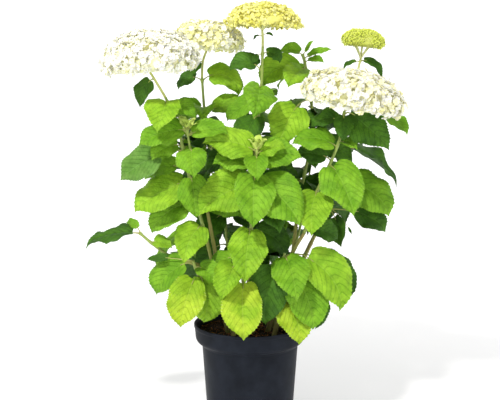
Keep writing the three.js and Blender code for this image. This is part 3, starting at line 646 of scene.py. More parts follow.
def rule_pairs(shoot):
    rows = []
    top = shoot["stem"][-1][2] - RULE["top"]
    foot = shoot["stem"][0][2] + RULE["foot"]
    pairs = shoot["rule"]["pairs"]
    for pair in range(pairs):
        share = pair / (pairs - 1)
        height = top + (foot - top) * share
        blade = between(RULE["blade"], min(1, share / RULE["fullAt"]))
        heading = shoot["rule"]["heading"] + 90 * pair
        for side in (0, 180):
            rows.append([height, heading + side, blade, between(RULE["hang"], share)])
    return rows


def fill_rows(shoot, draw):
    rows = []
    top = shoot["stem"][-1][2]
    foot = shoot["stem"][0][2]
    for _ in range(shoot["fill"]):
        height = foot + (top - foot) * between(FILL["height"], draw())
        heading = between(FILL["heading"], draw())
        blade = between(FILL["blade"], draw())
        rows.append([height, heading, blade, between(FILL["hang"], draw())])
    return rows


def leaf_of(row, path, lean, draw):
    height, heading, blade, hang = row[:4]
    own = row[5] if len(row) > 5 else {}
    arch = own["arch"] if "arch" in own else LEAF["arch"] * between(DRAWN["arch"], draw())
    rise = own["rise"] if "rise" in own else LEAF["rise"] * between(DRAWN["rise"], draw())
    twist = own.get("roll", 0) + between(DRAWN["twist"], draw())
    fold = between(DRAWN["fold"], draw())
    slim = own["slim"] if "slim" in own else between(DRAWN["width"], draw())
    return {
        "node": path.at_height(height), "heading_deg": heading, "hang": hang, "lean": lean,
        "blade": blade, "arch": math.radians(arch), "rise": math.radians(rise), "twist": twist,
        "fold": math.radians(fold), "stalk": row[4] if len(row) > 4 else blade * LEAF["stalkShare"],
        "width": blade * LEAF["width"] * slim, "tone": own.get("tone"), "height": height,
    }


def leaves_of(shoot, seed):
    draw = seeded(seed)
    path = Path(shoot["stem"])
    rows = list(shoot["leaves"])
    if shoot.get("young"):
        rows += young_rows(shoot)
    if shoot.get("rule"):
        rows += rule_pairs(shoot)
    rows += fill_rows(shoot, draw)
    leaves = [leaf_of(row, path, shoot.get("lean", LEAF["lean"]), draw) for row in rows]
    for leaf, letter in zip(leaves, ROW_TONES.get(shoot["name"], "")):
        leaf["tone"] = LETTERS[letter]
    return leaves


def swerved(leaf, swerve):
    aside, down = swerve
    hang = math.radians(leaf["hang"] + down)
    heading = math.radians(leaf["heading_deg"] + aside)
    return {
        **leaf,
        "heading": heading,
        "roll": math.radians(leaf["twist"] + leaf["lean"] * math.cos(heading)),
        "start": -hang + leaf["arch"] / 2,
        "end": -hang - leaf["arch"] / 2,
    }


def as_grown(leaf, corners):
    """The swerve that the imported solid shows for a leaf, or None where the leaf was left out"""
    shares = np.array(PROBE["shares"])
    least = np.where(shares < PROBE["baseUpTo"], LEAF["base"], LEAF["tip"])
    half = leaf["width"] / 2 * np.maximum(outline(shares), least)
    across = half * np.array(PROBE["sides"])
    over = half * math.tan(leaf["fold"])
    nearest, found = PROBE["near"], None
    for swerve in SWERVES:
        trial = swerved(leaf, swerve)
        places = leaf_places(trial, trial["stalk"] + trial["blade"] * shares, across, over)
        apart = np.linalg.norm(corners[None, :, :] - places[:, None, :], axis=2).min(axis=1).max()
        if apart < nearest:
            nearest, found = apart, trial
    return found


def corners_of(node):
    mesh = frame["nodes"][node].data
    places = np.zeros(len(mesh.vertices) * 3, np.float32)
    mesh.vertices.foreach_get("co", places)
    return places.reshape(-1, 3).astype(float) / METRE


# Mesh building


class Batch:
    """Collects corners and faces of one kind, and makes one piece of them"""

    def __init__(self):
        self.places, self.faces, self.looks, self.marks = [], [], [], []
        self.count = 0

    def add(self, places, faces, look=0, marks=None):
        """Adds a mesh. The look is one material's place for all its faces, or an array of them."""
        places = np.asarray(places, float).reshape(-1, 3)
        faces = np.asarray(faces, int)
        self.places.append(places)
        self.faces.append(faces + self.count)
        self.looks.append(np.full(len(faces), look))
        self.marks.append(np.zeros((len(places), 2)) if marks is None else marks.reshape(-1, 2))
        self.count += len(places)

    def piece(self, name, materials):
        mesh = bpy.data.meshes.new(name)
        places = np.concatenate(self.places) * METRE
        quads = np.concatenate(self.faces)
        looks = np.concatenate(self.looks)
        marks = np.concatenate(self.marks)
        sizes = np.where(quads[:, 2] == quads[:, 3], 3, 4)
        keep = np.ones(quads.shape, bool)
        keep[:, 3] = sizes == 4
        loops = quads[keep]
        starts = np.concatenate([[0], np.cumsum(sizes)[:-1]])
        mesh.vertices.add(len(places))
        mesh.vertices.foreach_set("co", places.astype(np.float32).ravel())
        mesh.loops.add(len(loops))
        mesh.loops.foreach_set("vertex_index", loops.astype(np.int32))
        mesh.polygons.add(len(quads))
        mesh.polygons.foreach_set("loop_start", starts.astype(np.int32))
        mesh.polygons.foreach_set("material_index", looks.astype(np.int32))
        mesh.update(calc_edges=True)
        mesh.validate()
        mesh.shade_smooth()
        layer = mesh.uv_layers.new(name="surface")
        layer.data.foreach_set("uv", marks[loops].astype(np.float32).ravel())
        for material in materials:
            mesh.materials.append(material)
        piece = bpy.data.objects.new(name, mesh)
        bpy.context.scene.collection.objects.link(piece)
        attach(piece, "root")
        return piece


def grid_faces(rows, columns, closed=False):
    """The quads of a grid of corners, row by row; closed joins each row's last corner to its first"""
    last = columns if closed else columns - 1
    row, column = np.meshgrid(np.arange(rows - 1), np.arange(last), indexing="ij")
    a = row * columns + column
    b = row * columns + (column + 1) % columns
    return np.stack([a, b, b + columns, a + columns], -1).reshape(-1, 4)


def ring_angles(sides):
    return TURN * np.arange(sides) / sides


def round_about(angles, side, front):
    """The direction at each angle round an axis, from the two directions across it"""
    return np.cos(angles)[:, None] * side + np.sin(angles)[:, None] * front


def tube(batch, centres, radii, sides, look=0, cap=True, ridges=None):
    """A round limb through a row of centres, with ridges as a share of its radius if given"""
    centres = np.asarray(centres, float)
    along = np.gradient(centres, axis=0)
    along /= np.linalg.norm(along, axis=1)[:, None]
    across = np.cross(np.array([0, -1.0, 0]), along)
    weak = np.linalg.norm(across, axis=1) < 0.1
    across[weak] = np.cross(np.array([1.0, 0, 0]), along[weak])
    across /= np.linalg.norm(across, axis=1)[:, None]
    other = np.cross(along, across)
    angles = ring_angles(sides)
    radii = np.broadcast_to(np.asarray(radii, float), len(centres))[:, None]
    if ridges is not None:
        radii = radii * (1 + ridges)
    ring = (
        centres[:, None, :]
        + (radii * np.cos(angles))[..., None] * across[:, None, :]
        + (radii * np.sin(angles))[..., None] * other[:, None, :]
    )
    run = np.concatenate([[0], np.cumsum(np.linalg.norm(np.diff(centres, axis=0), axis=1))])
    marks = np.stack(np.broadcast_arrays(run[:, None] * 0.01, angles / TURN), -1)
    faces = grid_faces(len(centres), sides, closed=True)
    places, marks = ring.reshape(-1, 3), marks.reshape(-1, 2)
    if cap:
        start = len(places)
        places = np.concatenate([places, centres[:1], centres[-1:]])
        marks = np.concatenate([marks, marks[:1], marks[-1:]])
        side = np.arange(sides)
        after = (side + 1) % sides
        foot_centre, tip_centre = np.full(sides, start), np.full(sides, start + 1)
        last = (len(centres) - 1) * sides
        foot = np.stack([after, side, foot_centre, foot_centre], -1)
        tip = np.stack([last + side, last + after, tip_centre, tip_centre], -1)
        faces = np.concatenate([faces, foot, tip])
    batch.add(places, faces, look, marks)


def blade_width(share, widest, fullness):
    """Half the blade's width as a share of its greatest, with a blunt base and a drawn-out tip"""
    inner = np.clip((widest - share) / widest, 0, 1)
    outer = np.clip((share - widest) / (1 - widest), 0, 1)
    power, root = BLADE["baseRound"]
    base = BLADE["baseWidth"] + (1 - BLADE["baseWidth"]) * (1 - inner**power) ** root
    drip = np.clip((outer - BLADE["dripFrom"]) / BLADE["dripOver"], 0, 1)
    tip = (1 - outer**fullness) ** BLADE["tipRound"] * (1 - BLADE["drip"] * drip**1.5)
    return np.maximum(np.where(share < widest, base, tip), BLADE["tipWidth"])


def teeth_of(rows, blade, rng):
    """How far each row of a blade's edge stands out: odd rows are points and even rows are notches"""
    size = min(BLADE["tooth"][1], BLADE["tooth"][0] * blade + BLADE["leastTooth"])
    least, more = BLADE["toothDrawn"]
    reach = size * (least + more * rng.rand(rows))
    return np.where(np.arange(rows) % 2 == 0, BLADE["notch"], BLADE["point"])[:, None] * reach[:, None]


def blade_relief(leaf, share, far, phase, across, rng):
    """How far the upper face rises over the leaf's middle plane: fold, veins, quilting and waves"""
    blade, half_width = leaf["blade"], leaf["width"] / 2
    belly = np.sin(math.pi * share)
    least, more = RELIEF["quiltDrawn"]
    depth = RELIEF["quilt"] * blade * (least + more * rng.rand() ** 2)
    rib = np.clip(np.abs(across) / (RELIEF["ribWidth"] * half_width), 0, 1)
    wander = RELIEF["wander"] * np.sin(0.11 * across + 5 * share + ANY_PHASE * rng.rand())
    wave = np.abs(np.sin(math.pi * (phase + wander))) ** 0.5
    quilt = depth * (wave - RELIEF["level"]) * rib * (1 - RELIEF["flatter"] * far**3)
    swell = RELIEF["swell"] * blade * np.sin(TURN * (0.9 * share + far * 0.7 + rng.rand()))
    swell = swell * belly * far
    crumple = RELIEF["crumple"] * depth * np.sin(1.2 * across + 2 * phase) * rib * (1 - far**2)
    rib_width = RELIEF["midribWidth"] * half_width + 0.5
    midrib = -RELIEF["midrib"] * depth * np.exp(-((across / rib_width) ** 2))
    turns = drawn(RELIEF["rippleTurns"], rng)
    starts = rng.rand(2)
    side = np.where(across > 0, starts[0], starts[1])
    ripple = RELIEF["ripple"] * blade * drawn(RELIEF["rippleDrawn"], rng) * far**2
    ripple = ripple * np.sin(TURN * (share * turns + side)) * belly**0.5
    crimp = RELIEF["crimp"] * blade * far**3 * belly**0.5
    crimp_turns = drawn(RELIEF["crimpTurns"], rng)
    ripple = ripple + crimp * np.sin(TURN * (share * crimp_turns + 1.7 * side))
    sag = RELIEF["sag"] * blade * (rng.rand() - 0.5) * np.sin(TURN * share)
    tilt = RELIEF["tilt"] * across * (rng.rand() - 0.5) * belly
    curl = -drawn(RELIEF["curl"], rng) * half_width * far**3 * belly**0.6
    past = np.clip((share - RELIEF["hookFrom"]) / 0.2, 0, 1)
    hook = -RELIEF["hook"] * blade * past**2
    fold = np.abs(across) ** 0.9 * half_width**0.1 * math.tan(RELIEF["fold"] * leaf["fold"])
    fade = np.clip(6 * (1 - share), 0, 1)
    return fold + (quilt + crumple + midrib) * fade + ripple + swell + sag + tilt + curl + hook


def leaf_mesh(leaves, stalks, leaf, look, rng):
    """A blade with a toothed edge, sunken veins and a paler underside, and its stalk"""
    blade = leaf["blade"]
    half_width = leaf["width"] / 2
    rows = int(np.clip(2 * round(blade / BLADE["toothLength"]), *BLADE["rows"])) + 1
    sides = next(count for least, count in BLADE["sides"] if blade > least)
    columns = 2 * sides + 1
    share = np.repeat(np.linspace(0, 1, rows)[:, None], columns, axis=1)
    place = np.linspace(-1, 1, columns)
    place = np.sign(place) * np.abs(place) ** BLADE["outward"]
    beside = np.repeat(place[None, :], rows, axis=0)
    far = np.abs(beside)

    # The outline: its own widest place, uneven halves, teeth, bulges and lobes at the base
    widest = between(BLADE["widest"], rng.rand())
    width = blade_width(share, widest, between(BLADE["fullness"], rng.rand()))
    uneven = 1 + BLADE["uneven"] * (rng.rand() - 0.5) * np.sign(beside)
    shoulders = np.clip(share * 12, 0, 1) * np.clip((1 - share) * 9, 0, 1)
    teeth = teeth_of(rows, blade, rng) * far**7 * shoulders
    start = np.where(beside > 0, ANY_PHASE * rng.rand(), ANY_PHASE * rng.rand())
    bulge = np.sin(7 * share + start) + 0.6 * np.sin(15 * share - start)
    bulge = bulge + 0.5 * np.sin(24 * share + 2 * start)
    irregular = 1 + BLADE["irregular"] * bulge
    across = beside * half_width * width * uneven * irregular + np.sign(beside) * teeth
    lobes = BLADE["lobe"] * blade * np.clip(1 - share / BLADE["lobeTo"], 0, 1) ** 1.6 * far**1.4
    along = blade * share - lobes + 0.6 * teeth

    # Veins lean forward from the midrib, and take turns on its two sides.
    forward = BLADE["veinLean"] * np.abs(across) + BLADE["veinCurve"] * across**2 / half_width
    shift = np.where(beside > 0, 0.5, 0.0)
    phase = (along - forward) * BLADE["veins"] / blade + shift
    over = blade_relief(leaf, share, far, phase, across, rng)
    sway = (rng.rand() - 0.5) * BLADE["sway"] * blade * np.sin(math.pi * share)

    # Lobes reach back past the stalk's end, in line with the blade's first stretch.
    root = leaf["stalk"] + 1e-6
    places = leaf_places(leaf, np.maximum(leaf["stalk"] + along, root), across + sway, over)
    first = leaf_places(leaf, np.array([root, root + 0.5]), np.zeros(2), np.zeros(2))
    places = places + np.minimum(along, 0)[..., None] * (first[1] - first[0]) / 0.5
    normals = np.cross(np.gradient(places, axis=0), np.gradient(places, axis=1))
    normals /= np.maximum(np.linalg.norm(normals, axis=2)[..., None], 1e-9)
    thickness = BLADE["thin"] + BLADE["thicken"] * blade
    lower = places - normals * thickness * (1 - far[..., None] ** 6)
    marks = np.stack([phase, across / half_width], -1)
    faces = grid_faces(rows, columns)
    leaves.add(places, faces[:, ::-1], look, marks)
    leaves.add(lower, faces, look + 1, marks)
    stalk_mesh(stalks, leaf)


def stalk_mesh(stalks, leaf):
    steps = max(4, int(leaf["stalk"] / STALK["step"]) + 2)
    run = np.linspace(0, leaf["stalk"] + STALK["into"] * leaf["blade"], steps)
    slim = min(1, 0.5 + 0.5 * leaf["blade"] / STALK["fullFrom"])
    radius = slim * np.linspace(STALK["root"], STALK["blade"] * STALK["end"], steps)
    radius[0] *= STALK["flare"]
    centres = leaf_places(leaf, run, np.zeros(steps), -STALK["under"] * radius)
    tube(stalks, centres, radius, STALK["sides"], look=1)


# Materials


def linear(hexa):
    value = [int(hexa[i:i + 2], 16) / 255 for i in (1, 3, 5)]
    return [c / 12.92 if c <= 0.04045 else ((c + 0.055) / 1.055) ** 2.4 for c in value] + [1.0]


def grey(value):
    return (value, value, value, 1.0)


class Look:
    """A procedural material with small helpers for its nodes"""

    def __init__(self, name, roughness, specular):
        self.material = bpy.data.materials.new(name)
        self.material.use_nodes = True
        self.tree = self.material.node_tree
        self.shader = self.tree.nodes["Principled BSDF"]
        self.set("Roughness", roughness)
        self.set("Specular IOR Level", specular)
        self.place = self.node("ShaderNodeTexCoord").outputs["Object"]

    def set(self, socket, value):
        self.shader.inputs[socket].default_value = value

    def node(self, kind, **values):
        node = self.tree.nodes.new(kind)
        for key, value in values.items():
            setattr(node, key, value)
        return node

    def link(self, source, target):
        self.tree.links.new(source, target)

    def parts(self, source):
        node = self.node("ShaderNodeSeparateXYZ")
        self.link(source, node.inputs[0])
        return node.outputs

    def math(self, operation, a, b=None, clamp=False):
        node = self.node("ShaderNodeMath", operation=operation, use_clamp=clamp)
        for index, value in enumerate((a, b)):
            if value is None:
                continue
            if isinstance(value, (int, float)):
                node.inputs[index].default_value = value
            else:
                self.link(value, node.inputs[index])
        return node.outputs[0]

    def falling(self, source, sharpness):
        """1 where the source is 0, down to 0 where it reaches 1 / sharpness"""
        rising = self.math("MULTIPLY", source, sharpness, clamp=True)
        return self.math("SUBTRACT", 1.0, rising, clamp=True)

    def noise(self, scale, detail, roughness=0.55, stretch=None):
        node = self.node("ShaderNodeTexNoise")
        node.inputs["Scale"].default_value = scale
        node.inputs["Detail"].default_value = detail
        node.inputs["Roughness"].default_value = roughness
        source = self.place
        if stretch:
            mapping = self.node("ShaderNodeMapping")
            mapping.inputs["Scale"].default_value = stretch
            self.link(source, mapping.inputs["Vector"])
            source = mapping.outputs["Vector"]
        self.link(source, node.inputs["Vector"])
        return node.outputs["Fac"]

    def ramp(self, factor, stops):
        node = self.node("ShaderNodeValToRGB")
        while len(node.color_ramp.elements) < len(stops):
            node.color_ramp.elements.new(0.5)
        for element, (at, colour) in zip(node.color_ramp.elements, stops):
            element.position = at
            element.color = linear(colour) if isinstance(colour, str) else colour
        self.link(factor, node.inputs["Fac"])
        return node.outputs["Color"]

    def map_range(self, source, spans):
        """The source from one span to another, where spans holds the ends of both"""
        node = self.node("ShaderNodeMapRange")
        for socket, value in zip(("From Min", "From Max", "To Min", "To Max"), spans):
            node.inputs[socket].default_value = value
        self.link(source, node.inputs["Value"])
        return node.outputs["Result"]

    def mix(self, factor, a, b, blend="MIX"):
        node = self.node("ShaderNodeMix", data_type="RGBA", blend_type=blend)
        for socket, value in ((node.inputs[0], factor), (node.inputs[6], a), (node.inputs[7], b)):
            if hasattr(value, "is_linked") or hasattr(value, "links"):
                self.link(value, socket)
            else:
                socket.default_value = value
        return node.outputs[2]

    def colour(self, source):
        self.link(source, self.shader.inputs["Base Color"])

    def roughness(self, source):
        self.link(source, self.shader.inputs["Roughness"])

    def bump(self, source, strength, distance):
        node = self.node("ShaderNodeBump")
        node.inputs["Strength"].default_value = strength
        node.inputs["Distance"].default_value = distance
        self.link(source, node.inputs["Height"])
        self.link(node.outputs["Normal"], self.shader.inputs["Normal"])


def leaf_look(name, colours, patches, under):
    """Leaf skin: soft patches, thin veins along the surface marks, painted shade along the side veins,
    and a fine net
    """
    base, light, vein = colours
    look = Look(name, roughness=0.6, specular=0.4)
    look.set("IOR", 1.3)
    marks = look.parts(look.node("ShaderNodeUVMap", uv_map="surface").outputs["UV"])
    wave = look.math("ABSOLUTE", look.math("SINE", look.math("MULTIPLY", marks["X"], math.pi)))
    side_vein = look.falling(wave, 7.0)
    midrib = look.falling(look.math("ABSOLUTE", marks["Y"]), 24.0)
    veins = look.math("MAXIMUM", look.math("MULTIPLY", side_vein, 0.45 if under else 0.0), midrib)
    scale, first, last = patches
    tone = look.ramp(look.noise(scale, 3.0), ((first, base), (last, light)))
    # Painted shade: the colour darkens, unevenly, along the side veins
    uneven = look.math("MULTIPLY", look.math("SUBTRACT", 1.0, look.noise(26.0, 2.0)), 0.6)
    painted_vein_shade = look.math("MULTIPLY", look.falling(wave, 2.4), uneven)
    tone = look.mix(painted_vein_shade, tone, linear(base), "MULTIPLY")
    tone = look.mix(look.math("MULTIPLY", veins, 0.26), tone, linear(vein))
    blotch = look.noise(95.0, 3.0, 0.6)
    speckle = look.ramp(blotch, ((0.36, grey(0.8)), (0.6, grey(1.0))))
    look.colour(look.mix(1.0, tone, speckle, "MULTIPLY"))
    net = look.node("ShaderNodeTexVoronoi", feature="DISTANCE_TO_EDGE")
    net.inputs["Scale"].default_value = 210.0
    look.link(look.place, net.inputs["Vector"])
    cells = look.math("MULTIPLY", net.outputs["Distance"], 2.2, clamp=True)
    cells = look.math("ADD", cells, look.math("MULTIPLY", blotch, 1.2))
    raised = look.math("MULTIPLY", look.math("MAXIMUM", side_vein, midrib), 0.6 if under else -0.5)
    look.bump(look.math("ADD", look.math("MULTIPLY", cells, 0.4), raised), 0.8, 0.0016)
    return look.material


def leaf_materials():
    """Each tone's upper side and underside, in turn"""
    made = []
    for tone in TONE_ORDER:
        patches = YELLOW_PATCHES if tone == "yellow" else PATCHES
        made.append(leaf_look(f"leaf_{tone}", LEAF_TONES[tone], patches, under=False))
        made.append(leaf_look(f"leaf_{tone}_underside", UNDERSIDES[tone], patches, under=True))
    return made


def stem_look(name, low, high):
    look = Look(name, roughness=0.5, specular=0.4)
    streak = look.noise(60.0, 4.0, stretch=(1, 1, 0.12))
    mottle = look.noise(140.0, 3.0)
    mixed = look.math("ADD", look.math("MULTIPLY", streak, 0.65), look.math("MULTIPLY", mottle, 0.35))
    look.colour(look.ramp(mixed, ((0.36, low), (0.64, high))))
    look.bump(look.noise(900.0, 3.0, stretch=(1, 1, 0.15)), 0.3, 0.0004)
    return look.material


def bark_look():
    """Bark in long strips, greener in patches, with painted shade darkening it near the peat"""
    look = Look("bark", roughness=0.8, specular=0.25)
    strips = look.noise(130.0, 5.0, 0.65, stretch=(1, 1, 0.1))
    bark = look.ramp(strips, ((0.30, "#64582f"), (0.45, "#8d824c"), (0.58, "#a8a060"), (0.74, "#c4be84")))
    green = look.ramp(look.noise(28.0, 3.0), ((0.40, "#8c9a48"), (0.66, "#a2945a")))
    mixed = look.mix(0.55, bark, green)
    # Painted shade: the bark darkens towards the peat, under the foliage
    low = look.map_range(look.parts(look.place)["Z"], (0.18, 0.34, 0.75, 0.0))
    look.colour(look.mix(low, mixed, linear("#4a4424")))
    look.bump(strips, 0.7, 0.0009)
    return look.material


def pot_look():
    look = Look("pot_plastic", roughness=0.6, specular=0.25)
    look.set("IOR", 1.2)
    look.colour(look.ramp(look.noise(24.0, 5.0, 0.6), ((0.3, "#181b21"), (0.7, "#23272f"))))
    look.roughness(look.ramp(look.noise(7.0, 3.0), ((0.3, grey(0.36)), (0.75, grey(0.56)))))
    look.bump(look.noise(1300.0, 2.0), 0.18, 0.0003)
    return look.material


def peat_look():
    look = Look("peat", roughness=0.95, specular=0.15)
    crumbs = look.noise(210.0, 6.0, 0.7)
    stops = ((0.32, "#15100c"), (0.52, "#2a1e15"), (0.66, "#46301f"), (0.8, "#6b4a2e"))
    look.colour(look.ramp(crumbs, stops))
    look.bump(crumbs, 0.9, 0.003)
    return look.material


def fibre_look():
    look = Look("peat_fibre", roughness=0.9, specular=0.25)
    look.colour(look.ramp(look.noise(300.0, 4.0), ((0.34, "#6d4325"), (0.66, "#a9703c"))))
    look.bump(look.noise(1500.0, 3.0), 0.35, 0.0005)
    return look.material


def petal_look(name, low, high):
    look = Look(name, roughness=0.6, specular=0.3)
    look.colour(look.ramp(look.noise(55.0, 3.0), ((0.34, low), (0.64, high))))
    look.bump(look.noise(1400.0, 2.0), 0.2, 0.0002)
    look.set("Subsurface Weight", 0.5)
    look.set("Subsurface Radius", (1.0, 0.95, 0.7))
    look.set("Subsurface Scale", 0.005)
    return look.material


# Pot and peat


def lathe(batch, profile):
    """A turned body: the profile is radius and height from the axis round to the axis"""
    angles = ring_angles(POT_SIDES)
    profile = np.array(profile, float)
    ring = np.stack([
        profile[:, :1] * np.cos(angles), profile[:, :1] * np.sin(angles),
        np.broadcast_to(profile[:, 1:], (len(profile), POT_SIDES)),
    ], -1)
    batch.add(ring, grid_faces(len(profile), POT_SIDES, closed=True))


def rounded(profile):
    """The profile with its corners rounded off"""
    points = [np.array(p, float) for p in profile]
    made = [points[0]]
    steps = ROUNDING["steps"]
    for before, here, after in zip(points, points[1:], points[2:]):
        a, b = before - here, after - here
        reach = min(ROUNDING["radius"], np.linalg.norm(a) / 2.2, np.linalg.norm(b) / 2.2)
        a, b = here + a / np.linalg.norm(a) * reach, here + b / np.linalg.norm(b) * reach
        for step in range(steps + 1):
            t = step / steps
            made.append((1 - t) ** 2 * a + 2 * t * (1 - t) * here + t**2 * b)
    made.append(points[-1])
    return made


def pot_profile():
    """The pot's section: out along its underside, up the outer wall, and back down inside"""
    height, wall, floor = POT["height"], POT["wall"], POT["floor"]
    foot, shoulder = POT["footRadius"], POT["shoulderRadius"]
    band, rim = POT["bandRadius"], POT["rimRadius"]
    cove = []
    for share in np.linspace(0.2, 1, 7):
        angle = share * math.pi / 2
        out = shoulder + (band - shoulder) * math.sin(angle)
        cove.append((out, BAND_FOOT - POT["coveHeight"] * math.cos(angle)))
    under = FOOT_RING[0][1]
    return rounded([
        (0.01, under), (60, under),
        *((foot + out, up) for out, up in FOOT_RING),
        (shoulder, SHOULDER),
        *cove,
        (band + 1.6, height - 9), (rim, height - 6.4), (rim, height - 1.2), (rim - 1.4, height),
        (rim - wall, height - 0.6), (band - wall, height - 8), (band - wall, BAND_FOOT + 4),
        (shoulder - wall, SHOULDER), (foot - wall, floor), (0.01, floor),
    ])


def make_pot():
    batch = Batch()
    lathe(batch, pot_profile())
    pot = batch.piece("pot_shell", [pot_look()])
    drills = Batch()
    for hole in range(DRAIN["count"]):
        angle = TURN * (hole + 0.5) / DRAIN["count"]
        x, y = DRAIN["ring"] * math.cos(angle), DRAIN["ring"] * math.sin(angle)
        tube(drills, [[x, y, z] for z in DRILL["heights"]], DRAIN["radius"], DRILL["sides"])
    cutter = drills.piece("drills", [])
    cut = pot.modifiers.new("drain", "BOOLEAN")
    cut.object = cutter
    cut.operation = "DIFFERENCE"
    cut.solver = "EXACT"
    graph = bpy.context.evaluated_depsgraph_get()
    done = bpy.data.meshes.new_from_object(pot.evaluated_get(graph))
    pot.modifiers.clear()
    if len(done.polygons) > DRILL["leastFaces"]:
        pot.data = done
        done.name = "pot_shell"
    bpy.data.objects.remove(cutter)
    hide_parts("pot")


def peat_height(x, y):
    """How high the peat lies: lumpy, and a little higher in the middle"""
    r = np.hypot(x, y)
    lumps = sum(size * np.sin(x * kx + a) * np.sin(y * ky + b) for size, kx, ky, a, b in LUMPS)
    crown = SOIL_CROWN * np.clip(1 - (r / PEAT["crownRadius"]) ** 2, 0, 1)
    return SOIL_LEVEL + crown - PEAT["drop"] + PEAT["lump"] * lumps


def peat_bed(batch, rng):
    """The peat's rough top, and the plain sides and underside that lie against the pot"""
    rings, sides = PEAT["rings"], PEAT["sides"]
    radii = (np.linspace(PEAT["middle"], 1, rings) ** PEAT["spread"])[:, None] * PEAT_RADIUS
    angles = ring_angles(sides)
    x, y = radii * np.cos(angles), radii * np.sin(angles)
    z = peat_height(x, y) + rng.randn(rings, sides) * PEAT["grain"]
    places = [np.stack([x, y, z], -1)]
    floor = POT["floor"] + PEAT["above"]
    skirt = (
        (PEAT_RADIUS, PEAT["skirt"]),
        (POT["shoulderRadius"] - POT["wall"] - PEAT["inside"], SHOULDER),
        (POT["footRadius"] - POT["wall"] - PEAT["inside"], floor),
        (0.01, floor),
    )
    for radius, height in skirt:
        row = [radius * np.cos(angles), radius * np.sin(angles), np.full(sides, height)]
        places.append(np.stack(row, -1)[None])
    grid = np.concatenate(places)
    batch.add(grid, grid_faces(len(grid), sides, closed=True)[:, ::-1])


def spot(reach, rng):
    """A random place on the peat, within a share of its radius"""
    r = PEAT_RADIUS * reach * math.sqrt(rng.rand())
    a = TURN * rng.rand()
    return r * math.cos(a), r * math.sin(a)


def peat_crumbs(batch, rng):
    least, more = CRUMBS["size"]
    for _ in range(CRUMBS["count"]):
        px, py = spot(CRUMBS["reach"], rng)
        size = least + more * rng.rand() ** CRUMBS["mostSmall"]
        size = size * np.array([1, drawn(CRUMBS["wide"], rng), drawn(CRUMBS["high"], rng)])
        turn = TURN * rng.rand()
        c, s = math.cos(turn), math.sin(turn)
        body = CRUMB * (1 + CRUMBS["rough"] * rng.randn(len(CRUMB), 1)) * size
        x, y, z = body.T
        body = np.stack([c * x - s * y, s * x + c * y, z], -1)
        body += [px, py, float(peat_height(px, py)) + CRUMBS["rise"]]
        batch.add(body, CRUMB_FACES, look=1 if rng.rand() < CRUMBS["brown"] else 0)


def peat_fibres(batch, rng):
    for _ in range(FIBRES["count"]):
        px, py = spot(FIBRES["reach"], rng)
        turn = TURN * rng.rand()
        bend = rng.randn() * FIBRES["bend"]
        run = np.linspace(-0.5, 0.5, FIBRES["points"]) * drawn(FIBRES["length"], rng)
        bow = bend * 0.1 * run**2
        fx = px + run * math.cos(turn) - bow * math.sin(turn)
        fy = py + run * math.sin(turn) + bow * math.cos(turn)
        if (np.hypot(fx, fy) < PEAT_RADIUS * FIBRES["edge"]).all():
            arch = np.cos(np.linspace(-1.4, 1.4, FIBRES["points"]))
            fz = peat_height(fx, fy) + FIBRES["rise"] + FIBRES["arch"] * rng.rand() * arch
            tube(batch, np.stack([fx, fy, fz], -1), drawn(FIBRES["radius"], rng), 4, look=1)


def make_peat():
    rng = np.random.RandomState(SEEDS["peat"])
    batch = Batch()
    peat_bed(batch, rng)
    peat_crumbs(batch, rng)
    peat_fibres(batch, rng)
    peat = batch.piece("peat_surface", [peat_look(), fibre_look()])
    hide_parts("soil")


# Limbs and leaves


def wood_points(shoot):
    if "parent" not in shoot:
        return shoot["wood"]
    parent = next(other for other in SHOOTS if other["name"] == shoot["parent"])
    fork = Path(parent["wood"]).at_height(shoot["fork"])
    return [list(fork), *shoot["wood"]]


def bark_tube(batch, path, foot, tip, rng):
    """A woody limb with long ridges, a rough grain and the swollen scars of old leaves"""
    length = path.length()
    steps, sides = max(8, int(length / BARK["step"])), BARK["sides"]
    share = np.linspace(0, 1, steps)
    angles = ring_angles(sides)[None, :]
    ridges = np.zeros((steps, sides))
    for waves in BARK["waves"]:
        drift = 0.9 * np.sin(share * length / (23 + 7 * waves) + ANY_PHASE * rng.rand())
        ridge = np.sin(waves * angles + drift[:, None] * 2 + ANY_PHASE * rng.rand())
        ridges += BARK["ridge"] * ridge
    ridges += BARK["grain"] * rng.randn(steps, sides)
    scar = drawn(BARK["firstScar"], rng)
    while scar < length - BARK["clear"]:
        swell = np.exp(-(((share * length - scar) / BARK["scarLength"]) ** 2))
        ridges += BARK["scar"] * swell[:, None] * (1 + 0.4 * np.cos(angles * 2 + scar))
        scar += drawn(BARK["nextScar"], rng)
    tube(batch, path.places(share), foot + (tip - foot) * share, sides, ridges=ridges)


def make_wood():
    rng = np.random.RandomState(SEEDS["wood"])
    batch = Batch()
    nodes = []
    for shoot in SHOOTS:
        branch = "parent" in shoot
        size = BRANCH if branch else CANE
        flare = 1 if branch else BARK["caneFlare"]
        bark_tube(batch, Path(wood_points(shoot)), size["foot"] * flare, size["tip"], rng)
        nodes.append(f"{'branch' if branch else 'cane'}_{shoot['name']}")
    wood = batch.piece("canes", [bark_look()])
    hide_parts(*nodes)


def stem_tube(batch, path, foot, tip, heights, look=0):
    """A green stem that swells a little where its leaves stand"""
    share = np.linspace(0, 1, max(8, int(path.length() / GREEN_STEM["step"])))
    centres = path.places(share)
    radii = foot + (tip - foot) * share
    for height in heights:
        near = (centres[:, 2] - height) / GREEN_STEM["swellLength"]
        radii = radii * (1 + GREEN_STEM["swell"] * np.exp(-(near**2)))
    tube(batch, centres, radii, GREEN_STEM["sides"], look)


def tone_for(leaf, rng):
    if leaf["tone"]:
        return leaf["tone"]
    return RULE_TONES[rng.randint(len(RULE_TONES))]


def look_of(tone):
    """A tone's place among the leaf materials; its underside comes right after it"""
    return 2 * TONE_ORDER.index(tone)


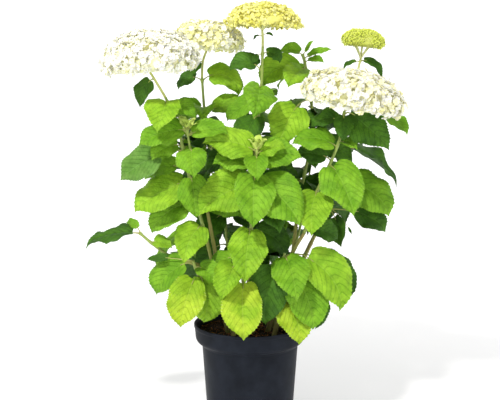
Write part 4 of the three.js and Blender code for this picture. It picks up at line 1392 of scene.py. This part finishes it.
def blade_samples(leaf):
    """Places spread over a leaf's blade, for the room that it takes up"""
    rows, columns = SAMPLES["along"], SAMPLES["across"]
    share = np.linspace(SAMPLES["from"], 1, rows)[:, None] * np.ones((1, columns))
    side = np.linspace(-1, 1, columns)[None, :] * np.ones((rows, 1))
    half = leaf["width"] / 2 * np.maximum(outline(share), SAMPLES["least"])
    over = half * np.abs(side) * math.tan(leaf["fold"])
    places = leaf_places(leaf, leaf["stalk"] + leaf["blade"] * share, half * side, over)
    return places.reshape(-1, 3)


def inner_leaves(shoot, rng, space):
    """Smaller leaves in the shade inside the crown, where the rule's own leaves leave room"""
    path = Path(shoot["stem"])
    foot, top = shoot["stem"][0][2], shoot["stem"][-1][2]
    grown = []
    for _ in range(INNER["trials"]):
        if len(grown) >= INNER["most"]:
            break
        row = [
            foot + (top - foot) * between(INNER["height"], rng.rand()), 360 * rng.rand(),
            between(INNER["blade"], rng.rand()), between(INNER["hang"], rng.rand()),
        ]
        leaf = swerved(leaf_of(row, path, INNER["lean"] * rng.randn(), rng.rand), (0, 0))
        samples = blade_samples(leaf)
        reach = np.hypot(samples[:, 0] / INNER["reach"][0], samples[:, 1] / INNER["reach"][1]).max()
        if reach > 1 or samples[:, 2].min() < INNER["lowest"] or samples[:, 1].min() < INNER["front"]:
            continue
        near = min(space.find(place)[2] for place in samples)
        if near > INNER["clear"]:
            grown.append(leaf)
    return grown


def tip_leaves(shoot, rng):
    """The newest leaves, still small, pale and upright, in a tuft on a shoot's tip"""
    if not shoot.get("young"):
        return []
    path = Path(shoot["stem"])
    top = shoot["stem"][-1][2]
    tuft = []
    for turn in range(TUFT["leaves"]):
        row = [
            top - TUFT["below"] * rng.rand(), turn * 360 / TUFT["leaves"] + TUFT["scatter"] * rng.rand(),
            between(TUFT["blade"], rng.rand()), between(TUFT["hang"], rng.rand()),
        ]
        leaf = swerved(leaf_of(row, path, 0, rng.rand), (0, 0))
        tuft.append({**leaf, "tone": "fresh"})
    return tuft


def tree_of(places):
    tree = KDTree(len(places))
    for index, place in enumerate(places):
        tree.insert(place, index)
    tree.balance()
    return tree


def grown_leaves():
    """The leaves that each packed foliage mass carries, by the name of its shoot"""
    crown = {}
    for order, shoot in enumerate(SHOOTS):
        corners = corners_of(f"foliage_{shoot['name']}")
        rows = leaves_of(shoot, SEEDS["leaves"] + SEEDS["step"] * order)
        trials = [as_grown(row, corners) for row in rows]
        crown[shoot["name"]] = [leaf for leaf in trials if leaf is not None]
    return crown


def taken_places(crown):
    """Places on the leaves, limbs and flower heads, which the inner leaves keep clear of"""
    taken = []
    for shoot in SHOOTS:
        taken += [blade_samples(leaf) for leaf in crown[shoot["name"]]]
        for points in (shoot["stem"], wood_points(shoot)):
            taken.append(Path(points).places(np.linspace(0, 1, SAMPLES["limb"])))
    plain = {"lump": 0, "loose": 0, "ragged": 0, "fringe": 0}
    for head in HEADS:
        rng = np.random.RandomState(SEEDS["domes"])
        places, _, _ = dome_places({**head, **plain}, SAMPLES["dome"], 0, SAMPLES["domeTo"], rng)
        taken.append(places)
    return taken


def make_bracts(stalks, materials, rng):
    """The flower stalks and the small leaves on them"""
    bracts = Batch()
    draw = seeded(SEEDS["bracts"])
    for head in HEADS:
        corners = corners_of(f"flower_stalk_{head['name']}")
        path = Path(head["stalk"])
        stem_tube(stalks, path, FLOWER_STALK["foot"], FLOWER_STALK["tip"], [], look=2)
        for row in head["bracts"]:
            grown = as_grown(leaf_of(row, path, LEAF["lean"], draw), corners)
            if grown is not None:
                # Painted shade: the bracts under the heads take the darker leaf colours
                leaf_mesh(bracts, stalks, grown, look_of("deep"), rng)
    piece = bracts.piece("bracts", materials)


def make_foliage():
    rng = np.random.RandomState(SEEDS["foliage"])
    materials = leaf_materials()
    stalks = Batch()
    crown = grown_leaves()
    taken = taken_places(crown)
    for shoot in SHOOTS:
        grown = crown[shoot["name"]]
        inner = inner_leaves(shoot, rng, tree_of(np.concatenate(taken)))
        taken += [blade_samples(leaf) for leaf in inner]
        leaves = Batch()
        for leaf in grown + tip_leaves(shoot, rng):
            leaf_mesh(leaves, stalks, leaf, look_of(tone_for(leaf, rng)), rng)
        for leaf in inner:
            # Painted shade: most inner leaves take the darker leaf colours
            tone = "deep" if rng.rand() < INNER["deep"] else "mid"
            leaf_mesh(leaves, stalks, leaf, look_of(tone), rng)
        heights = [leaf["height"] for leaf in grown + inner]
        tip = STEM["youngTip"] if shoot.get("young") else STEM["tip"]
        stem_tube(stalks, Path(shoot["stem"]), STEM["foot"], tip, heights)
        piece = leaves.piece(f"leaves_{shoot['name']}", materials)
        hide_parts(f"foliage_{shoot['name']}")
    make_bracts(stalks, materials, rng)
    stems = stalks.piece("stems_and_stalks", [
        stem_look("green_stem", "#7d9440", "#a3b35a"),
        stem_look("leaf_stalk", "#8f9d48", "#aeab64"),
        stem_look("flower_stalk_green", "#b3b964", "#cdd08a"),
    ])
    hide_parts(*[f"flower_stalk_{head['name']}" for head in HEADS])


# Flower heads


def head_axes(head):
    up = np.array([head["lean"][0], head["lean"][1], 1.0])
    up /= np.linalg.norm(up)
    side = np.cross([0, 1.0, 0], up)
    side /= np.linalg.norm(side)
    return up, side, np.cross(up, side)


def dome_profile(head, angle):
    over = np.where(np.cos(angle) > 0, head["height"] - head["middle"], head["middle"] + head["skirt"])
    return head["radius"] * np.sin(angle), head["middle"] + over * np.cos(angle)


def dome_places(head, count, inset, lowest, rng):
    """Evenly spread places on the dome with the direction that each faces"""
    up, side, front = head_axes(head)
    angle = np.linspace(0, math.radians(lowest), DOME["samples"])
    out, over = dome_profile(head, angle)
    arc = np.hypot(np.gradient(out), np.gradient(over))
    area = np.cumsum(out * arc)
    area /= area[-1]
    share = (np.arange(count) + 0.5) / count
    at = np.interp(share, area, angle) + rng.randn(count) * DOME["shift"]
    around = np.arange(count) * math.pi * (3 - math.sqrt(5)) + rng.randn(count) * DOME["turn"]
    out, over = dome_profile(head, at)
    out_next, over_next = dome_profile(head, at + DOME["step"])
    facing_out, facing_over = -(over_next - over), out_next - out
    size = np.hypot(facing_out, facing_over)
    facing_out, facing_over = facing_out / size, facing_over / size
    depth = -inset + rng.randn(count) * head["loose"]
    waves = np.sin(3 * around + 1.7) + 0.7 * np.sin(5 * around) + 0.5 * np.sin(11 * around)
    ragged = 1 + head["ragged"] * waves
    out = out * (1 + (ragged - 1) * np.clip(at / DOME["raggedFully"], 0, 1))
    fringe = np.clip((at - DOME["fringeFrom"]) / DOME["fringeOver"], 0, 1) * head["fringe"]
    over = over - fringe * rng.rand(count) ** DOME["fringeFew"]
    out = out + fringe * DOME["fringeOut"] * rng.randn(count)
    ring = round_about(around, side, front)
    facing = facing_out[:, None] * ring + facing_over[:, None] * up
    centre = np.array(head["stalk"][-1], float)
    places = centre + out[:, None] * ring + over[:, None] * up + depth[:, None] * facing
    middles = places[rng.permutation(count)[:count // CLUSTER["florets"]]]
    apart = np.linalg.norm(places[:, None] - middles[None], axis=2).min(axis=1)
    lift = head["lump"] * CLUSTER["lift"] * (CLUSTER["level"] - apart / apart.mean())
    return places + lift[:, None] * facing, facing, around


def floret_shape(radius, cup):
    """Four rounded sepals about a small centre, lying face up"""
    places, faces = [], []
    for sepal in range(4):
        turn = sepal * math.pi / 2
        c, s = math.cos(turn), math.sin(turn)
        start = len(places)
        for along, wide, dip in SEPAL_ROWS:
            for side in (-1, 0, 1):
                x = radius * (FLORET["inner"] + (1 - FLORET["inner"]) * along)
                y = radius * FLORET["wide"] * wide * side
                z = cup * along**1.6 * radius + (0 if side else -1) * dip * radius * FLORET["dip"]
                z += FLORET["overlap"] * radius if sepal % 2 else 0
                places.append([c * x - s * y, s * x + c * y, z])
        faces += [list(row + start) for row in grid_faces(len(SEPAL_ROWS), 3)]
    start = len(places)
    bead, low, top = (FLORET[key] * radius for key in ("bead", "beadFoot", "beadTop"))
    places += [[bead, 0, low], [0, bead, low], [-bead, 0, low], [0, -bead, low], [0, 0, top]]
    faces += [[start + i, start + (i + 1) % 4, start + 4, start + 4] for i in range(4)]
    looks = [0] * (len(faces) - 4) + [1] * 4
    return np.array(places), np.array(faces), np.array(looks)


def bud_shape(radius):
    """A small closed flower bud"""
    places = [[0, 0, radius * 0.9]]
    for height, wide in BUD_ROWS:
        for side in range(5):
            a = TURN * side / 5
            places.append([radius * wide * math.cos(a), radius * wide * math.sin(a), radius * height])
    faces = [[0, 1 + i, 1 + (i + 1) % 5, 1 + (i + 1) % 5] for i in range(5)]
    for base in (1, 6):
        faces += [[base + i, base + 5 + i, base + 5 + (i + 1) % 5, base + (i + 1) % 5] for i in range(5)]
    return np.array(places), np.array(faces), np.zeros(len(faces), int)


def frames_for(facing, spin):
    """For each direction, the turn that lays a shape's own up along it, spun about it"""
    helper = np.where(np.abs(facing[:, 2:]) < 0.9, [[0, 0, 1.0]], [[1.0, 0, 0]])
    a = np.cross(helper, facing)
    a /= np.linalg.norm(a, axis=1)[:, None]
    b = np.cross(facing, a)
    c, s = np.cos(spin)[:, None], np.sin(spin)[:, None]
    return np.stack([c * a + s * b, c * b - s * a, facing], -1)


def add_florets(batch, head, places, facing, around, rng):
    tilted = facing + rng.randn(*facing.shape) * head["tilt"]
    tilted /= np.linalg.norm(tilted, axis=1)[:, None]
    turns = frames_for(tilted, rng.rand(len(places)) * math.pi)
    for place, turn, angle in zip(places, turns, around):
        size = head["floret"] * drawn(FLORET["size"], rng)
        if head.get("buds") or rng.rand() < head.get("budded", 0):
            shape, faces, looks = bud_shape(size)
        else:
            shape, faces, looks = floret_shape(size, drawn(FLORET["cup"], rng))
        creamy = rng.rand() < head["creamy"] + FLORET["patch"] * math.sin(2.3 * angle)
        batch.add(shape @ turn.T + place, faces, np.where(looks == 1, 2, 1 if creamy else 0))


def add_core(batch, head, under, rng):
    """The closed dome behind the florets, so that nothing shows through between them"""
    up, side, front = head_axes(head)
    centre = np.array(head["stalk"][-1], float)
    shrink, sides = head["core"], CORE["sides"]
    angles = ring_angles(sides)
    ring = round_about(angles, side, front)
    rows = []
    out, over = dome_profile(head, np.radians(np.linspace(2, head["lowest"] - 2, CORE["rows"])))
    for o, h in zip(out, over):
        wobble = 1 + CORE["wobble"] * np.sin(5 * angles + h) + CORE["grain"] * rng.randn(sides)
        height = head["middle"] + (h - head["middle"]) * shrink - CORE["sunk"]
        rows.append(centre + (o * shrink * wobble)[:, None] * ring + height * up)
    for part in CORE["closing"]:
        o = out[-1] * shrink * part
        height = over[-1] + (under - over[-1]) * (1 - part**2) * 0.8
        rows.append(centre + o * ring + height * up)
    core = np.array(rows)
    batch.add(core, grid_faces(len(core), sides, closed=True)[:, ::-1], 3)


def add_rays(batch, head, under):
    """The middle stem and the rays that carry a head, and the places where they end"""
    up, side, front = head_axes(head)
    centre = np.array(head["stalk"][-1], float)
    draw_rays = np.random.RandomState(head["seed"] + 1)
    t = np.linspace(0, 1, RAY["points"])[:, None]
    hubs = []
    for ray in range(head["rays"]):
        turn = TURN * (ray + 0.4 * draw_rays.rand()) / head["rays"]
        direction = math.cos(turn) * side + math.sin(turn) * front
        out = direction * head["radius"] * RAY["reach"]
        hubs.append(centre + out + up * (under * RAY["rise"]))
        bent = centre + out * t + up * (under * RAY["rise"] * t**0.8)
        tube(batch, bent, np.linspace(*RAY["radius"], RAY["points"]), RAY["sides"], look=4)
    hubs.append(centre + up * (under * RAY["middle"]))
    middle = np.array([centre, centre + up * under * 0.4, hubs[-1]])
    tube(batch, middle, RAY["middleRadii"], RAY["sides"], look=4)
    return np.array(hubs)


def add_pedicels(batch, head, places, facing, hubs, rng):
    """Thin threads from the rays to some of the florets"""
    up = head_axes(head)[0]
    for place, face in zip(places, facing):
        if rng.rand() < head["pedicels"]:
            low = place - face * head["floret"] * 0.1
            near = hubs[np.linalg.norm(hubs - place, axis=1).argmin()]
            middle = (near + low) / 2 - PEDICEL["sag"] * up
            thread = np.array([near, middle, low])
            tube(batch, thread, PEDICEL["radii"], PEDICEL["sides"], look=4, cap=False)


def make_head(head):
    rng = np.random.RandomState(head["seed"])
    batch = Batch()
    inset = head["floret"] * FLORET["inset"]
    places, facing, around = dome_places(head, head["florets"], inset, head["lowest"], rng)
    add_florets(batch, head, places, facing, around, rng)
    under = head["rayLength"] + CORE["under"] * head["height"]
    add_core(batch, head, under, rng)
    hubs = add_rays(batch, head, under)
    add_pedicels(batch, head, places, facing, hubs, rng)
    piece = batch.piece(f"flowers_{head['name']}", head["looks"])
    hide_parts(f"flower_head_{head['name']}")


def make_heads():
    ray = stem_look("ray", "#ccd184", "#e2e4ac")
    made = {name: petal_look(name, low, high) for name, (low, high) in PETALS.items()}
    for head in HEADS:
        dressed = {**head, **FULL_GROWN, **DRESS[head["name"]]}
        petals = [made[f"petal_{colour}"] for colour in dressed["petals"]]
        dressed["looks"] = [*petals, made["flower_bead"], made[dressed["heart"]], ray]
        make_head(dressed)


# Stage, camera and lights


def stage_look():
    """White that glows more with its distance from the plant, so that the ground has no dark edge"""
    look = Look("studio_white", roughness=0.9, specular=0.1)
    look.set("Base Color", grey(STAGE["grey"]))
    look.set("Emission Color", grey(1.0))
    reach = look.node("ShaderNodeVectorMath", operation="LENGTH")
    look.link(look.place, reach.inputs[0])
    glow = look.map_range(reach.outputs["Value"], STAGE["glow"])
    look.link(glow, look.shader.inputs["Emission Strength"])
    return look.material


def make_stage():
    """A round floor that curves up into a low wall on every side"""
    profile = [(radius, 0.0) for radius in STAGE["rings"]]
    edge, curve = STAGE["rings"][-1], STAGE["curve"]
    for degrees in range(10, 91, 10):
        angle = math.radians(degrees)
        profile.append((edge + curve * math.sin(angle), curve * (1 - math.cos(angle))))
    profile.append((profile[-1][0], STAGE["height"]))
    corners = []
    for radius, height in profile:
        for side in range(STAGE["sides"]):
            turn = TURN * side / STAGE["sides"]
            corners.append((radius * math.cos(turn), radius * math.sin(turn), height))
    mesh = bpy.data.meshes.new("studio_floor")
    faces = grid_faces(len(profile), STAGE["sides"], closed=True)
    mesh.from_pydata(corners, [], faces.tolist())
    mesh.shade_smooth()
    mesh.materials.append(stage_look())
    floor = bpy.data.objects.new("studio_floor", mesh)
    bpy.context.scene.collection.objects.link(floor)


def make_light(name, place, target, size, energy, colour):
    lamp = bpy.data.lights.new(name, "AREA")
    lamp.shape = "DISK"
    lamp.size = size
    lamp.energy = energy
    lamp.color = colour
    item = bpy.data.objects.new(name, lamp)
    item.location = place
    away = np.array(place, float) - np.array(target, float)
    yaw = math.atan2(away[0], -away[1])
    pitch = math.atan2(math.hypot(away[0], away[1]), away[2])
    item.rotation_euler = (pitch, 0, yaw)
    bpy.context.scene.collection.objects.link(item)


def make_view():
    scene = bpy.context.scene
    lens = bpy.data.cameras.new("camera")
    lens.lens = CAMERA["lens"]
    lens.sensor_width = CAMERA["sensor"]
    camera = bpy.data.objects.new("camera", lens)
    camera.location = (0, -CAMERA["distance"] * METRE, CAMERA["height"] * METRE)
    camera.rotation_euler = (math.radians(90 - CAMERA["down"]), 0, 0)
    scene.collection.objects.link(camera)
    scene.camera = camera
    world = bpy.data.worlds.new("studio")
    world.use_nodes = True
    background = world.node_tree.nodes["Background"]
    background.inputs["Color"].default_value = grey(1.0)
    background.inputs["Strength"].default_value = STAGE["world"]
    scene.world = world
    for name, light in LIGHTS.items():
        make_light(name, *light)
    scene.view_settings.view_transform = "Standard"
    scene.view_settings.look = "None"


make_view()
make_stage()
make_pot()
make_peat()
make_wood()
make_foliage()
make_heads()
